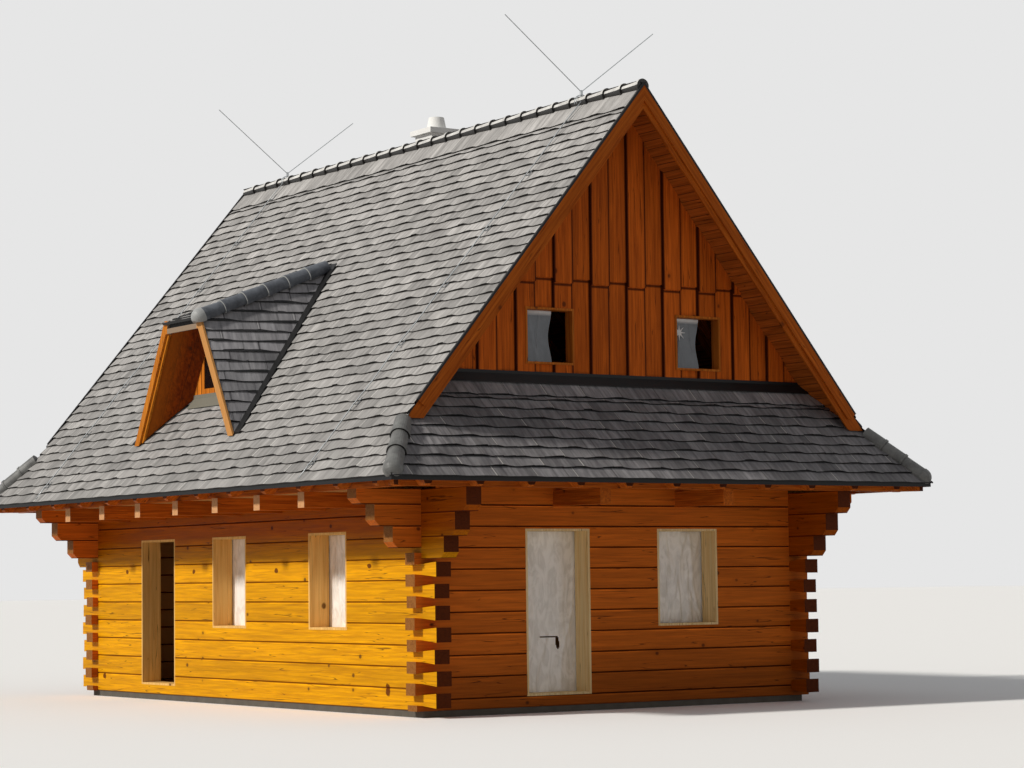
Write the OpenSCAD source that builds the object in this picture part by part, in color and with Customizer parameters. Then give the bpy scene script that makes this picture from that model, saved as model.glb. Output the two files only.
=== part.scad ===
// Alpine chalet of squared logs under a steep tiled roof, with a pent roof below each gable.
// Millimetres. X runs along the ridge, the long wall with the dormer faces -Y, Z = 0 is the ground.

/* [Walls] */
// Length between the outer faces of the two gable walls
house_l = 9280; // [8800:20:9900]
// Width between the outer faces of the two long walls
house_w = 5920; // [5600:20:6400]
// Thickness of the squared logs
log_t = 210; // [180:5:230]
// Height of one log course
course_h = 260; // [245:5:270]
// Full height courses in a long wall, below its two taller top logs
courses = 8; // [8:1:9]
// Height of each of the two top logs of a long wall
top_log_h = 285; // [270:5:300]
// Bevel along the edges of each log
log_bevel = 14; // [6:1:20]
// Height of the foundation strip under the logs
plinth_h = 80; // [50:5:150]
// How far the foundation strip stands back from the log faces
plinth_inset = 20; // [0:5:50]

/* [Corners] */
// Reach of the long wall's log heads beyond the gable face
head_x = 300; // [200:10:360]
// Reach of the gable wall's log heads beyond the long face
head_y = 95; // [70:5:180]
// How much the reach varies from one log to the next
head_vary = 25; // [0:5:40]
// How much a long wall's log head flares above and below its neck
head_flare = 22; // [0:1:30]
// Reach of the uppermost bracket log beyond the gable face
bracket_x = 1000; // [900:10:1050]
// Reach of the uppermost bracket log beyond the long face
bracket_y = 900; // [850:10:950]
// Difference in reach between one bracket log and the next
bracket_step = 250; // [200:10:280]
// Bevel under the end of each bracket log
bracket_bevel = 70; // [30:5:100]

/* [Openings] */
// Height of the door sills above the bottom of the logs
door_sill = 130; // [130:5:150]
// Height of the window sills above the bottom of the logs
win_sill = 950; // [900:10:1100]
// Height of the door and window heads above the bottom of the logs
head_z = 2180; // [2120:5:2200]
// Width of the door in the front wall
front_door_w = 1060; // [900:10:1200]
// Width of the door in the gable wall
side_door_w = 970; // [900:10:1100]
// Width of every ground floor window
win_w = 965; // [700:5:1000]
// Centre of the front door from the middle of the wall
front_door_x = -2435; // [-2600:5:-2200]
// Centres of the front windows from the middle of the wall
front_win_a = -285; // [-450:5:-100]
front_win_b = 2375; // [2200:5:2500]
// Centre of the gable door from the ridge line
side_door_y = -965; // [-1100:5:-850]
// Centre of the gable window from the ridge line
side_win_y = 1060; // [900:5:1200]
// Thickness of the lining boards in the reveals
lining_t = 28; // [20:1:35]
// Depth of the lining boards from the outer face of the wall
lining_d = 290; // [250:5:320]
// Thickness of the plastic film over the openings
film_t = 4; // [3:1:6]

/* [Floors] */
// Number of ceiling joists between the two gable walls
joists = 7; // [5:1:9]
// Width of a ceiling joist and of an outrigger beam
joist_w = 160; // [120:10:180]
// Height of a ceiling joist and of an outrigger beam
joist_h = 190; // [160:10:220]
// Reach of a ceiling joist beyond the long face
joist_out = 950; // [900:10:1000]
// Thickness of the attic floor boards
board_t = 40; // [25:5:60]
// Distance of the outrigger beams from the ridge line
outrigger_y = 950; // [700:10:1200]
// Width and height of the eave plates that carry the rafters
plate_w = 120; // [100:10:140]
plate_h = 140; // [120:10:150]

/* [Roof] */
// Pitch of the two main slopes in degrees
pitch = 50.3; // [48:0.1:52]
// Pitch of the pent roofs in degrees
skirt_pitch = 46.1; // [44:0.1:48]
// Reach of the long eaves beyond the long walls
eave_out = 1200; // [1150:10:1300]
// Reach of the pent roofs beyond the gable walls
skirt_out = 1286; // [1200:2:1400]
// Reach of the verges beyond the gable walls
verge_out = 620; // [500:10:700]
// Height of the eave edge above the long wall's top log
eave_lift = 115; // [90:5:140]
// Length of tile that shows in each course of the main slopes, and of the pent roofs
tile_show = 162; // [140:1:200]
skirt_show = 171; // [140:1:200]
// Length of the top course of the main slopes, and of the pent roofs
top_show = 440; // [400:5:560]
skirt_top_show = 415; // [300:5:480]
// Thickness of the tiled layer
tile_t = 36; // [30:1:45]
// Height of the step at the lower edge of each course
tile_step = 24; // [15:1:28]
// Thickness of the boarded deck under the tiles
deck_t = 50; // [30:5:60]
// Width of the rafters, and of the blunt tips of their feet
rafter_w = 170; // [120:10:180]
rafter_tip = 60; // [40:5:80]
// Depth of the rafters
rafter_h = 170; // [160:5:180]
// Distance from one main rafter to the next
rafter_pitch = 900; // [800:10:920]
// Distance from one pent roof rafter to the next
skirt_rafter_pitch = 720; // [600:10:740]
// Width of the hip rafters
hip_rafter_w = 110; // [80:10:140]
// How far the black metal edges stand back from the lowest tiles
edge_in = 30; // [28:1:60]
// Radius of the ridge and hip caps
cap_r = 112; // [95:1:130]
// Length of cap that shows in each piece
cap_show = 375; // [300:5:450]

/* [Gables] */
// Thickness of the gable boards
gable_t = 44; // [30:2:50]
// Thickness of the cover boards
cover_t = 26; // [18:1:30]
// Distance from one board joint to the next
cover_pitch = 285; // [240:5:320]
// Height of the joint between the lower and the upper cover boards
cover_joint = 2620; // [2500:10:2800]
// Width and height of an attic window
attic_win_w = 735; // [600:5:800]
attic_win_h = 710; // [600:5:760]
// Height of the attic window sills above the attic floor
attic_sill = 1530; // [1500:10:1600]
// Centres of the attic windows from the ridge line
attic_win_a = -1065; // [-1150:5:-1000]
attic_win_b = 1265; // [1150:5:1300]
// Share of an attic window that its film still covers
film_share = 0.68; // [0.5:0.01:0.9]
// Width of the outer bargeboards, width of the inner ones behind them, and the thickness of each
barge_w = 125; // [110:5:150]
barge_inner_w = 180; // [160:5:200]
barge_t = 30; // [20:1:40]
// Distance of the rounded ends of the outer bargeboards from the eave, up the slope
barge_foot = 1190; // [1100:10:1300]

/* [Dormer] */
// Middle of the dormer along the front slope
dormer_x = -467; // [-700:1:-200]
// Distance of the dormer's front from the ridge line
dormer_y = 3540; // [3450:5:3600]
// Width of the dormer's front at its foot
dormer_foot = 2880; // [2700:10:3000]
// Width of the dormer's front at its top
dormer_top = 1040; // [900:10:1200]
// Height of the dormer's front
dormer_h = 1635; // [1500:5:1700]
// Pitch of the dormer's top in degrees
dormer_pitch = 21.5; // [18:0.5:25]
// Thickness of the dormer's roof
dormer_t = 100; // [80:5:120]
// Overhang of the dormer's top tiles over its front
dormer_lip = 70; // [40:5:100]
// Width of the dormer's raking boards, and of the strip that shows of the inner ones behind them
dormer_board = 120; // [115:5:160]
dormer_strip = 45; // [30:5:60]
// Depth from the dormer's front to its window wall
dormer_depth = 480; // [400:10:560]
// Half width of the window wall at its foot
dormer_wall_w = 700; // [600:10:800]
// Width and height of the dormer window
dormer_win_w = 660; // [400:10:680]
dormer_win_h = 440; // [300:10:460]
// Height of the dormer window's sill above the tiles
dormer_sill = 130; // [100:5:160]

/* [Chimney] */
// Middle of the chimney along the ridge and behind it
chimney_x = -730; // [-900:5:-500]
chimney_y = 715; // [650:5:900]
// Width of the square chimney stack
chimney_w = 450; // [380:10:520]
// Height of the chimney cap's underside above the ridge
chimney_up = 270; // [200:10:500]
// Thickness of the cap slab and its overhang
cap_slab_t = 75; // [50:5:100]
cap_slab_out = 55; // [30:5:80]
// Radius of the chimney pot at its foot and at its rim, its wall and its height
pot_r = 150; // [120:5:180]
pot_rim = 112; // [90:2:118]
pot_wall = 22; // [15:1:30]
pot_h = 190; // [150:10:300]

/* [Lightning rods] */
// Distance of each pair of rods from the middle of the ridge
rod_x = 3925; // [3500:5:4300]
// Length, diameter and lean of a rod in degrees
rod_l = 1480; // [1000:20:1600]
rod_d = 12; // [8:1:16]
rod_lean = 53; // [40:1:60]
// Diameter and height of the socket that holds a pair
socket_d = 40; // [30:2:60]
socket_h = 60; // [40:5:90]

/* [Hidden] */
$fn = 48;

log_wood = "#c98a2c";
pale_wood = "#b48c52";
tile_grey = "#86868a";
cap_grey = "#55595f";
white = "#dcdad4";
metal_black = "#202225";

half_l = house_l / 2;
half_w = house_w / 2;
wall_z = plinth_h;
wall_top = wall_z + courses * course_h + 2 * top_log_h;
eave_x = half_l + skirt_out;
eave_y = half_w + eave_out;
eave_z = wall_top + eave_lift;
house_span = (house_l - log_t) / (joists + 1);
verge_x = half_l + verge_out;
ridge_z = eave_z + eave_y * tan(pitch);
slope_l = eave_y / cos(pitch);
skirt_l = skirt_out / cos(skirt_pitch);
hip_k = tan(skirt_pitch) / tan(pitch);
hip_y = eave_y - (eave_x - verge_x) * hip_k;
hip_z = eave_z + (eave_x - verge_x) * tan(skirt_pitch);
attic_z = wall_top + board_t;
joist_z = wall_top - joist_h;
big = 12000;
far = 30000;

// Boundaries between the courses of a long wall, and of a gable wall that starts with half a log
function long_z(k) = wall_z + min(k, courses) * course_h + max(k - courses, 0) * top_log_h;
function gable_z(k) = k == 0 ? wall_z : wall_z + course_h / 2 + (k - 1) * course_h;
long_n = courses + 2;
gable_n = courses + 3;
function long_mid(k) = (long_z(k) + long_z(k + 1)) / 2;
function gable_mid(k) = k == 0 ? wall_z : (gable_z(k) + gable_z(k + 1)) / 2;
// Where a long log and the gable log below it or above it meet in a crossing
function cross_z(long_k, gable_k) = (long_mid(long_k) + gable_mid(gable_k)) / 2;
function vary(k) = head_vary * sin(k * 137);
function odd(k) = k % 2 == 1;

// Height of the main roof plane at a distance from the ridge line, at a depth below the tile edges
function roof_z(y, depth = 0) = ridge_z - abs(y) * tan(pitch) - depth / cos(pitch);
function skirt_z(x, depth = 0) = eave_z + (eave_x - abs(x)) * tan(skirt_pitch) - depth / cos(skirt_pitch);

// An outline in the Y-Z plane drawn out along X, and one in the X-Z plane drawn out along Y
module along_x(len) rotate([90, 0, 90]) linear_extrude(len, center = true) children();
module along_y(len) rotate([90, 0, 0]) linear_extrude(len, center = true) children();
module block(lo, hi) translate(lo) cube(hi - lo);
module both_x() for (s = [0, 1]) mirror([s, 0, 0]) children();
module both_y() for (s = [0, 1]) mirror([0, s, 0]) children();
module half_turn() rotate([0, 0, 180]) children();

// Frame of the front slope: local Y runs up the slope from the eave, local Z out of it
module on_slope() translate([0, -eave_y, eave_z]) rotate([pitch, 0, 0]) children();
// Frame of the right pent roof: local Y runs up the slope, local X along the eave
module on_skirt() translate([eave_x, 0, eave_z]) rotate([0, 0, 90]) rotate([skirt_pitch, 0, 0]) children();

// Space above the underside of the main roof, at a depth below the tile edges
module above_main(depth, reach) along_x(2 * reach)
    polygon([[-big, roof_z(big, depth)], [0, roof_z(0, depth)], [big, roof_z(big, depth)], [0, far]]);
module below_main(depth, reach) along_x(2 * reach)
    polygon([[-big, roof_z(big, depth)], [0, roof_z(0, depth)], [big, roof_z(big, depth)]]);
module below_skirts(depth) along_y(2 * big)
    polygon([[-big, skirt_z(big, depth)], [0, skirt_z(0, depth)], [big, skirt_z(big, depth)]]);

// Plan of a hip at a distance x from the middle of the house, moved sideways by off
function hip_at(x, off = 0) = -eave_y + (eave_x - x) * hip_k + off * sqrt(1 + hip_k * hip_k);
past = 100;
// Plan of one main slope, which widens below the verges to meet the hips, short of them by a gap
module main_plan(x1 = verge_x, gap = 0) linear_extrude(far)
    polygon([[-x1, 0], [x1, 0], [x1, hip_at(x1, -gap)], [eave_x + past, hip_at(eave_x + past, -gap)],
        [-eave_x - past, hip_at(eave_x + past, -gap)], [-x1, hip_at(x1, -gap)]]);
// Plan of the right pent roof, between its hips
module skirt_plan(gap = 0) linear_extrude(far)
    polygon([[half_l, hip_at(half_l, gap)], [eave_x + past, hip_at(eave_x + past, gap)],
        [eave_x + past, -hip_at(eave_x + past, gap)], [half_l, -hip_at(half_l, gap)]]);

// Courses as a saw-toothed outline. Full courses show up to a short one that is left over below
// the long top course, and the whole layer runs on past the ridge.
module courses_outline(run, top, show) {
    n = floor((run - top) / show);
    left = run - top - n * show;
    over = 200;
    polygon([
        for (i = [0 : n - 1]) each [[i * show, 0], [(i + 1) * show, -tile_step]],
        [n * show, 0], [run - top, -tile_step * left / show],
        [run - top, 0], [run + over, -tile_step * (1 + over / top)], [run + over, -tile_t], [0, -tile_t]]);
}

// Ground
module foundation() color(white) difference() {
    block([-half_l + plinth_inset, -half_w + plinth_inset, 0], [half_l - plinth_inset, half_w - plinth_inset, wall_z]);
    block([-half_l + log_t, -half_w + log_t, -1], [half_l - log_t, half_w - log_t, wall_z + 1]);
}

module ground_floor() color(pale_wood) difference() {
    block([-half_l + log_t, -half_w + log_t, 0], [half_l - log_t, half_w - log_t, wall_z + door_sill]);
    chimney_hole();
}

// Log walls. A bar is a log between its crossings, with bevelled edges, its outer face at y = 0.
module log_bar(half_len, z0, z1) along_x(2 * half_len)
    polygon([[log_bevel, z0], [0, z0 + log_bevel], [0, z1 - log_bevel], [log_bevel, z1],
        [log_t - log_bevel, z1], [log_t, z1 - log_bevel], [log_t, z0 + log_bevel], [log_t - log_bevel, z0]]);

// The end of a log: the neck inside the crossing and the head beyond it, which flares to its end
module log_end(half_len, n0, n1, reach, h0, h1) translate([half_len, log_t / 2, 0]) along_y(log_t)
    polygon([[-log_t, n0], [0, n0], [reach, h0], [reach, h1], [0, n1], [-log_t, n1]]);

// A bracket's end keeps the log's height beyond the crossing, with a bevel below
module bracket_end(half_len, n0, n1, reach, z0, z1) translate([half_len, log_t / 2, 0]) along_y(log_t)
    polygon([[-log_t, n0], [0, n0], [0, z0], [reach - bracket_bevel, z0], [reach, z0 + bracket_bevel],
        [reach, z1], [0, z1], [0, n1], [-log_t, n1]]);

module wall_log(half_len, z0, z1, n0, n1, reach, bracket) {
    flare = head_flare * reach / head_x;
    log_bar(half_len - log_t, z0, z1);
    both_x()
        if (bracket) bracket_end(half_len, n0, n1, reach, z0, min(z1, wall_top));
        else log_end(half_len, n0, n1, reach, max(n0 - flare, z0), n1 + flare);
}

// Log k of a long wall, and log k of a gable wall
module long_log(k)
    wall_log(half_l, long_z(k), long_z(k + 1), cross_z(k, k), cross_z(k, k + 1),
        k < long_n - 3 ? head_x + vary(k) : bracket_x - (long_n - 1 - k) * bracket_step, k >= long_n - 3);
module gable_log(k)
    wall_log(half_w, gable_z(k), gable_z(k + 1), k == 0 ? wall_z : cross_z(k - 1, k),
        k == gable_n - 1 ? wall_top : cross_z(k, k),
        k < gable_n - 3 ? head_y + vary(k + 2) / 2 : bracket_y - (gable_n - 1 - k) * bracket_step,
        k >= gable_n - 3);

// Openings through a wall whose outer face is at y = 0
module door_hole(x, w, t) block([x - w / 2, -1, wall_z + door_sill], [x + w / 2, t + 1, wall_z + head_z]);
module window_hole(x, w, t) block([x - w / 2, -1, wall_z + win_sill], [x + w / 2, t + 1, wall_z + head_z]);

module front_face() translate([0, -half_w, 0]) children();
module back_face() half_turn() front_face() children();
module right_face() translate([half_l, 0, 0]) rotate([0, 0, 90]) children();
module left_face() half_turn() right_face() children();

module front_holes(t) {
    door_hole(front_door_x, front_door_w, t);
    for (x = [front_win_a, front_win_b]) window_hole(x, win_w, t);
}
module back_holes(t) for (x = [-front_win_a, -front_win_b, -front_door_x]) window_hole(x, win_w, t);
module right_holes(t) {
    door_hole(side_door_y, side_door_w, t);
    window_hole(side_win_y, win_w, t);
}
module left_holes(t) for (s = [-1, 1]) window_hole(s * side_win_y, win_w, t);

function joist_at(i) = (i - (joists - 1) / 2) * house_span;

module joist_pockets() for (i = [0 : joists - 1])
    block([joist_at(i) - joist_w / 2, -1, joist_z], [joist_at(i) + joist_w / 2, log_t + 1, wall_top + 1]);
module outrigger_pockets() for (s = [-1, 1])
    block([s * outrigger_y - joist_w / 2, -1, joist_z], [s * outrigger_y + joist_w / 2, log_t + 1, wall_top]);

module long_wall(parity) for (k = [0 : long_n - 1]) if (odd(k) == parity) long_log(k);
module gable_wall_logs(parity) for (k = [0 : gable_n - 1]) if (odd(k) == parity) gable_log(k);

module front_logs(parity) color(log_wood) front_face() difference() {
    long_wall(parity);
    front_holes(log_t);
    joist_pockets();
}
module back_logs(parity) color(log_wood) back_face() difference() {
    long_wall(parity);
    back_holes(log_t);
    joist_pockets();
}
module right_logs(parity) color(log_wood) right_face() difference() {
    gable_wall_logs(parity);
    right_holes(log_t);
    outrigger_pockets();
}
module left_logs(parity) color(log_wood) left_face() difference() {
    gable_wall_logs(parity);
    left_holes(log_t);
    outrigger_pockets();
}

// Linings: a frame of boards round an opening, and a sheet of film over its inner edge
module lining(x, w, z0, z1, d) difference() {
    block([x - w / 2, 0, z0], [x + w / 2, d, z1]);
    block([x - w / 2 + lining_t, -1, z0 + lining_t], [x + w / 2 - lining_t, d + 1, z1 - lining_t]);
}
module door_lining(x, w) lining(x, w, wall_z + door_sill, wall_z + head_z, lining_d);
module window_lining(x) lining(x, win_w, wall_z + win_sill, wall_z + head_z, lining_d);
module film(x, w, z0) block([x - w / 2, lining_d, z0], [x + w / 2, lining_d + film_t, wall_z + head_z]);

module door_linings() color(pale_wood) {
    front_face() door_lining(front_door_x, front_door_w);
    right_face() door_lining(side_door_y, side_door_w);
}
module window_linings() color(pale_wood) {
    front_face() for (x = [front_win_a, front_win_b]) window_lining(x);
    back_face() for (x = [-front_win_a, -front_win_b, -front_door_x]) window_lining(x);
    right_face() window_lining(side_win_y);
    left_face() for (s = [-1, 1]) window_lining(s * side_win_y);
}
module wall_films() color(white) {
    front_face() for (x = [front_win_a, front_win_b]) film(x, win_w, wall_z + win_sill);
    back_face() for (x = [-front_win_a, -front_win_b, -front_door_x]) film(x, win_w, wall_z + win_sill);
    right_face() {
        film(side_door_y, side_door_w, wall_z + door_sill);
        film(side_win_y, win_w, wall_z + win_sill);
    }
    left_face() for (s = [-1, 1]) film(s * side_win_y, win_w, wall_z + win_sill);
}

// Timber that carries the attic and the eaves
module ceiling_joists() color(log_wood) for (i = [0 : joists - 1])
    block([joist_at(i) - joist_w / 2, -half_w - joist_out, joist_z],
        [joist_at(i) + joist_w / 2, half_w + joist_out, wall_top]);

skirt_plate_x = half_l + bracket_x - plate_w;
long_plate_y = half_w + bracket_y - plate_w;

module outrigger_beams() color(log_wood) both_x() for (s = [-1, 1])
    block([joist_at(joists - 1) + joist_w / 2, s * outrigger_y - joist_w / 2, joist_z],
        [skirt_plate_x + plate_w, s * outrigger_y + joist_w / 2, wall_top]);

module attic_floor() color(pale_wood) difference() {
    block([-half_l + log_t, -long_plate_y, wall_top], [half_l - log_t, long_plate_y, attic_z]);
    chimney_hole();
}

module long_eave_plates() color(log_wood) both_y()
    block([-skirt_plate_x, long_plate_y, wall_top], [skirt_plate_x, long_plate_y + plate_w, wall_top + plate_h]);
module gable_eave_plates() color(log_wood) both_x()
    block([skirt_plate_x, -long_plate_y - plate_w, wall_top],
        [skirt_plate_x + plate_w, long_plate_y + plate_w, wall_top + plate_h]);

// Rafters. A foot is cut plumb behind the eave, notched over its plate and hewn to a blunt point.
under_deck = tile_t + deck_t;
rafter_gap = 60;
foot_in = 100;
hip_gap = hip_rafter_w / 2 + 1;
// The outermost main rafters lie beside the gable boards, a jack rafter lies past each verge, and
// the outermost rafters of a pent roof lie this far past the long walls
gable_clear = 11;
verge_clear = 55;
skirt_rafter_out = 640;
rafter_end = half_l - gable_t - rafter_w / 2 - gable_clear;
jack_x = verge_x + rafter_w / 2 + verge_clear;
skirt_rafter_end = half_w + skirt_rafter_out;
// Even places from -end to end, about a pitch apart
function spread(end, pitch_wanted) = let (n = round(end / pitch_wanted)) [for (i = [-n : n]) i * end / n];
module rafter_row(places) for (x = places) translate([x, 0, 0]) along_y(2 * big)
    polygon([[-rafter_w / 2, far], [-rafter_w / 2, wall_top + foot_in], [-rafter_tip / 2, wall_top],
        [rafter_tip / 2, wall_top], [rafter_w / 2, wall_top + foot_in], [rafter_w / 2, far]]);
module rafter_layer(run) along_x(2 * big) polygon([[0, -under_deck], [2 * run, -under_deck],
    [2 * run, -under_deck - rafter_h], [0, -under_deck - rafter_h]]);

module main_rafters() color(log_wood) difference() {
    intersection() {
        on_slope() rafter_layer(slope_l);
        rafter_row(concat(spread(rafter_end, rafter_pitch), [-jack_x, jack_x]));
        block([-big, foot_in - eave_y, wall_top], [big, 0, ridge_z]);
        main_plan(verge_x, hip_gap);
    }
    long_eave_plates();
}
dormer_gap = 100;
module dormer_hole() linear_extrude(far) polygon([
    [dormer_x - dormer_wall_w - dormer_gap, wall_y + rafter_gap],
    [dormer_x + dormer_wall_w + dormer_gap, wall_y + rafter_gap],
    [dormer_x + dormer_top / 2 - dormer_gap, dormer_back - 2.5 * dormer_gap],
    [dormer_x - dormer_top / 2 + dormer_gap, dormer_back - 2.5 * dormer_gap]]);
module front_rafters() difference() { main_rafters(); dormer_hole(); }
module back_rafters() difference() { half_turn() main_rafters(); chimney_hole(rafter_gap); }

// Frame of the front right hip: local X runs up it from the corner of the eaves
hip_run = [verge_x - eave_x, eave_y - hip_y, hip_z - eave_z];
hip_turn = atan2(hip_run[1], hip_run[0]);
hip_rise = atan2(hip_run[2], norm([hip_run[0], hip_run[1]]));
module on_hip() translate([eave_x, -eave_y, eave_z]) rotate([0, 0, hip_turn]) rotate([0, -hip_rise, 0]) children();

// Space below both roof planes that meet at the hip, at a depth under the tile edges
module hip_wedge(depth = 0) {
    main_n = [-sin(pitch) * cos(hip_turn),
        sin(pitch) * sin(hip_rise) * sin(hip_turn) + cos(pitch) * cos(hip_rise)];
    skirt_n = [-sin(skirt_pitch) * sin(hip_turn),
        -sin(skirt_pitch) * sin(hip_rise) * cos(hip_turn) + cos(skirt_pitch) * cos(hip_rise)];
    drop = -depth / (1 + main_n * skirt_n) * (main_n + skirt_n);
    translate([0, drop[0], drop[1]]) along_x(2 * big)
        polygon([[0, 0], half_w * [main_n[1], -main_n[0]], half_w * [-skirt_n[1], skirt_n[0]]]);
}

module skirt_foot_block() block([half_l, foot_in - eave_y, wall_top], [eave_x - foot_in, eave_y - foot_in, ridge_z]);
module skirt_rafters() color(log_wood) both_x() difference() {
    intersection() {
        skirt_foot_block();
        union() {
            intersection() {
                on_skirt() rafter_layer(skirt_l);
                rotate([0, 0, 90]) rafter_row(spread(skirt_rafter_end, skirt_rafter_pitch));
                skirt_plan(hip_gap);
            }
            both_y() on_hip() intersection() {
                hip_wedge(under_deck);
                block([0, -hip_rafter_w / 2, -3 * rafter_h], [big, hip_rafter_w / 2, 0]);
            }
        }
    }
    long_eave_plates();
    gable_eave_plates();
    above_main(under_deck, verge_x);
}

// Roof decks and tile courses. The decks stand back from the eaves behind the metal edges.
edge_t = 6;
edge_h = 90;
module deck_plan() block([edge_in + edge_t - eave_x, edge_in + edge_t - eave_y, 0],
    [eave_x - edge_in - edge_t, eave_y - edge_in - edge_t, far]);
module deck_layer(run) along_x(2 * big) polygon([[0, -tile_t], [2 * run, -tile_t],
    [2 * run, -under_deck], [0, -under_deck]]);
module main_deck() color(pale_wood) intersection() {
    on_slope() deck_layer(slope_l);
    main_plan(verge_x - barge_t);
    deck_plan();
}
module main_tiles() color(tile_grey) intersection() {
    on_slope() along_x(2 * big) courses_outline(slope_l, top_show, tile_show);
    main_plan();
}
module front_deck() difference() { main_deck(); dormer_hole(); }
module back_deck() difference() { half_turn() main_deck(); chimney_hole(); }
module front_tiles() difference() { main_tiles(); dormer_hole(); }
module back_tiles() difference() { half_turn() main_tiles(); chimney_hole(); }

module skirt_layer() both_x() difference() {
    intersection() {
        children();
        skirt_plan();
    }
    above_main(under_deck, verge_x);
}
module skirt_decks() color(pale_wood) skirt_layer() intersection() {
    on_skirt() deck_layer(skirt_l);
    deck_plan();
}
module skirt_tiles() color(tile_grey) skirt_layer() on_skirt() along_x(2 * big)
    courses_outline(skirt_l, skirt_top_show, skirt_show);

// A dark folded strip where a pent roof meets the gable boards
flash_t = 5;
flash_w = 130;
module skirt_flashings() color(metal_black) both_x() difference() {
    along_y(2 * eave_y) polygon([
        [half_l + cover_t, skirt_z(half_l + cover_t)], [half_l + flash_w, skirt_z(half_l + flash_w)],
        [half_l + flash_w, skirt_z(half_l + flash_w) + flash_t],
        [half_l + cover_t + flash_t, skirt_z(half_l + cover_t) + 2 * flash_t],
        [half_l + cover_t + flash_t, skirt_z(half_l) + 20],
        [half_l + cover_t, skirt_z(half_l) + 20]]);
    above_main(under_deck, verge_x);
}

// Boards along a verge, drawn in the frame of the slope between two distances from the middle.
// They are cut plumb at the ridge, a hair short of those of the other slope.
corner_gap = 0.3;
module on_verge(x0, x1) both_x() both_y() intersection() {
    on_slope() translate([(x0 + x1) / 2, 0, 0]) along_x(x1 - x0) children();
    block([0, -big, 0], [big, -corner_gap / 2, far]);
}

// Black metal edges: plumb strips under the lowest tiles against the decks, and strips over the verges
verge_strip = 25;
verge_lip = 2;
module edge_outline(out, slope) {
    function top_at(back) = eave_z + back * tan(slope) - tile_t / cos(slope);
    polygon([[out - edge_in, eave_z - edge_h], [out - edge_in, top_at(edge_in)],
        [out - edge_in - edge_t, top_at(edge_in + edge_t)], [out - edge_in - edge_t, eave_z - edge_h]]);
}
module eave_edges() color(metal_black) {
    both_y() intersection() {
        mirror([0, 1, 0]) along_x(2 * big) edge_outline(eave_y, pitch);
        main_plan(verge_x, corner_gap);
    }
    both_x() intersection() {
        along_y(2 * big) edge_outline(eave_x, skirt_pitch);
        skirt_plan(corner_gap);
    }
    on_verge(verge_x, verge_x + barge_t + verge_lip)
        translate([barge_foot, -verge_strip]) square([slope_l, verge_strip + verge_lip]);
}

// A row of half-round caps from x = 0 to x = run, each with a collar at its lower end
cap_wall = 12;
collar = 8;
collar_w = 35;
taper = 10;
module cap_row(run) {
    n = round(run / cap_show);
    p = run / n;
    rotate([0, 90, 0]) rotate_extrude() polygon([
        for (i = [0 : n - 1]) each [[cap_r + collar, i * p], [cap_r + collar, i * p + collar_w],
            [cap_r, i * p + collar_w], [cap_r - taper, (i + 1) * p]],
        [cap_r - taper - cap_wall, run], [cap_r - taper - cap_wall, 0]]);
}
// The domed end of a row, below x = 0
module cap_dome() rotate([0, 90, 0]) rotate_extrude() intersection() {
    circle(cap_r + collar);
    translate([0, -cap_r - collar]) square(cap_r + collar);
}
// Space below the surface of the two top courses, where the ridge caps sit
module below_top_courses() along_x(2 * far) polygon([
    [-top_show * cos(pitch), roof_z(top_show * cos(pitch))], [0, roof_z(0, tile_step)],
    [top_show * cos(pitch), roof_z(top_show * cos(pitch))]]);
module ridge_caps() color(cap_grey) difference() {
    translate([-verge_x, 0, ridge_z - cap_r / 2]) cap_row(2 * verge_x);
    below_top_courses();
}
// Hip caps, from a dome at the eave up to the verge
hip_start = cap_r + collar;
module hip_caps() color(cap_grey) both_x() both_y() intersection() {
    on_hip() difference() {
        translate([hip_start, 0, -cap_r / 3]) {
            cap_row(norm(hip_run) - hip_start);
            cap_dome();
        }
        hip_wedge();
    }
    block([verge_x, -big, 0], [big, 0, far]);
}

// Gables: boards on the logs, covered by boards that overlap in two tiers
cover_lap = 60;
cover_gap = 20;
attic_out = cover_t + 10;
attic_lining_d = 150;
attic_wins = [attic_win_a, attic_win_b];
module attic_hole(c) block([c - attic_win_w / 2, -big, attic_z + attic_sill],
    [c + attic_win_w / 2, big, attic_z + attic_sill + attic_win_h]);
// Every second board of a tier, standing out in front of the tier's boards
module raised_boards(y0, y1, z0) for (i = [-8 : 8]) translate([(i + 0.5) * 2 * cover_pitch, 0, 0])
    block([-cover_pitch / 2, y0, z0], [cover_pitch / 2, y1, far]);
module gable_wall() intersection() {
    difference() {
        union() {
            block([-big, 0, gable_z(gable_n)], [big, gable_t, far]);
            raised_boards(-cover_t, 0, skirt_z(half_l) + cover_gap);
            block([-big, -cover_t, attic_z + cover_joint], [big, 0, far]);
            raised_boards(-2 * cover_t, -cover_t, attic_z + cover_joint - cover_lap);
        }
        for (c = attic_wins) attic_hole(c);
    }
    rotate([0, 0, -90]) below_main(under_deck, far);
}
module gable_walls() color(log_wood) {
    right_face() gable_wall();
    left_face() gable_wall();
}
module attic_lining(c) translate([0, -attic_out, 0])
    lining(c, attic_win_w, attic_z + attic_sill, attic_z + attic_sill + attic_win_h, attic_lining_d);
module attic_linings() color(pale_wood) for (c = attic_wins) {
    right_face() attic_lining(c);
    left_face() attic_lining(c);
}
module attic_film(c) translate([c - attic_win_w / 2, attic_lining_d - attic_out, attic_z + attic_sill])
    cube([attic_win_w * film_share, film_t, attic_win_h]);
module attic_films() color(white) for (c = attic_wins) {
    right_face() attic_film(c);
    left_face() attic_film(c);
}

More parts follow.
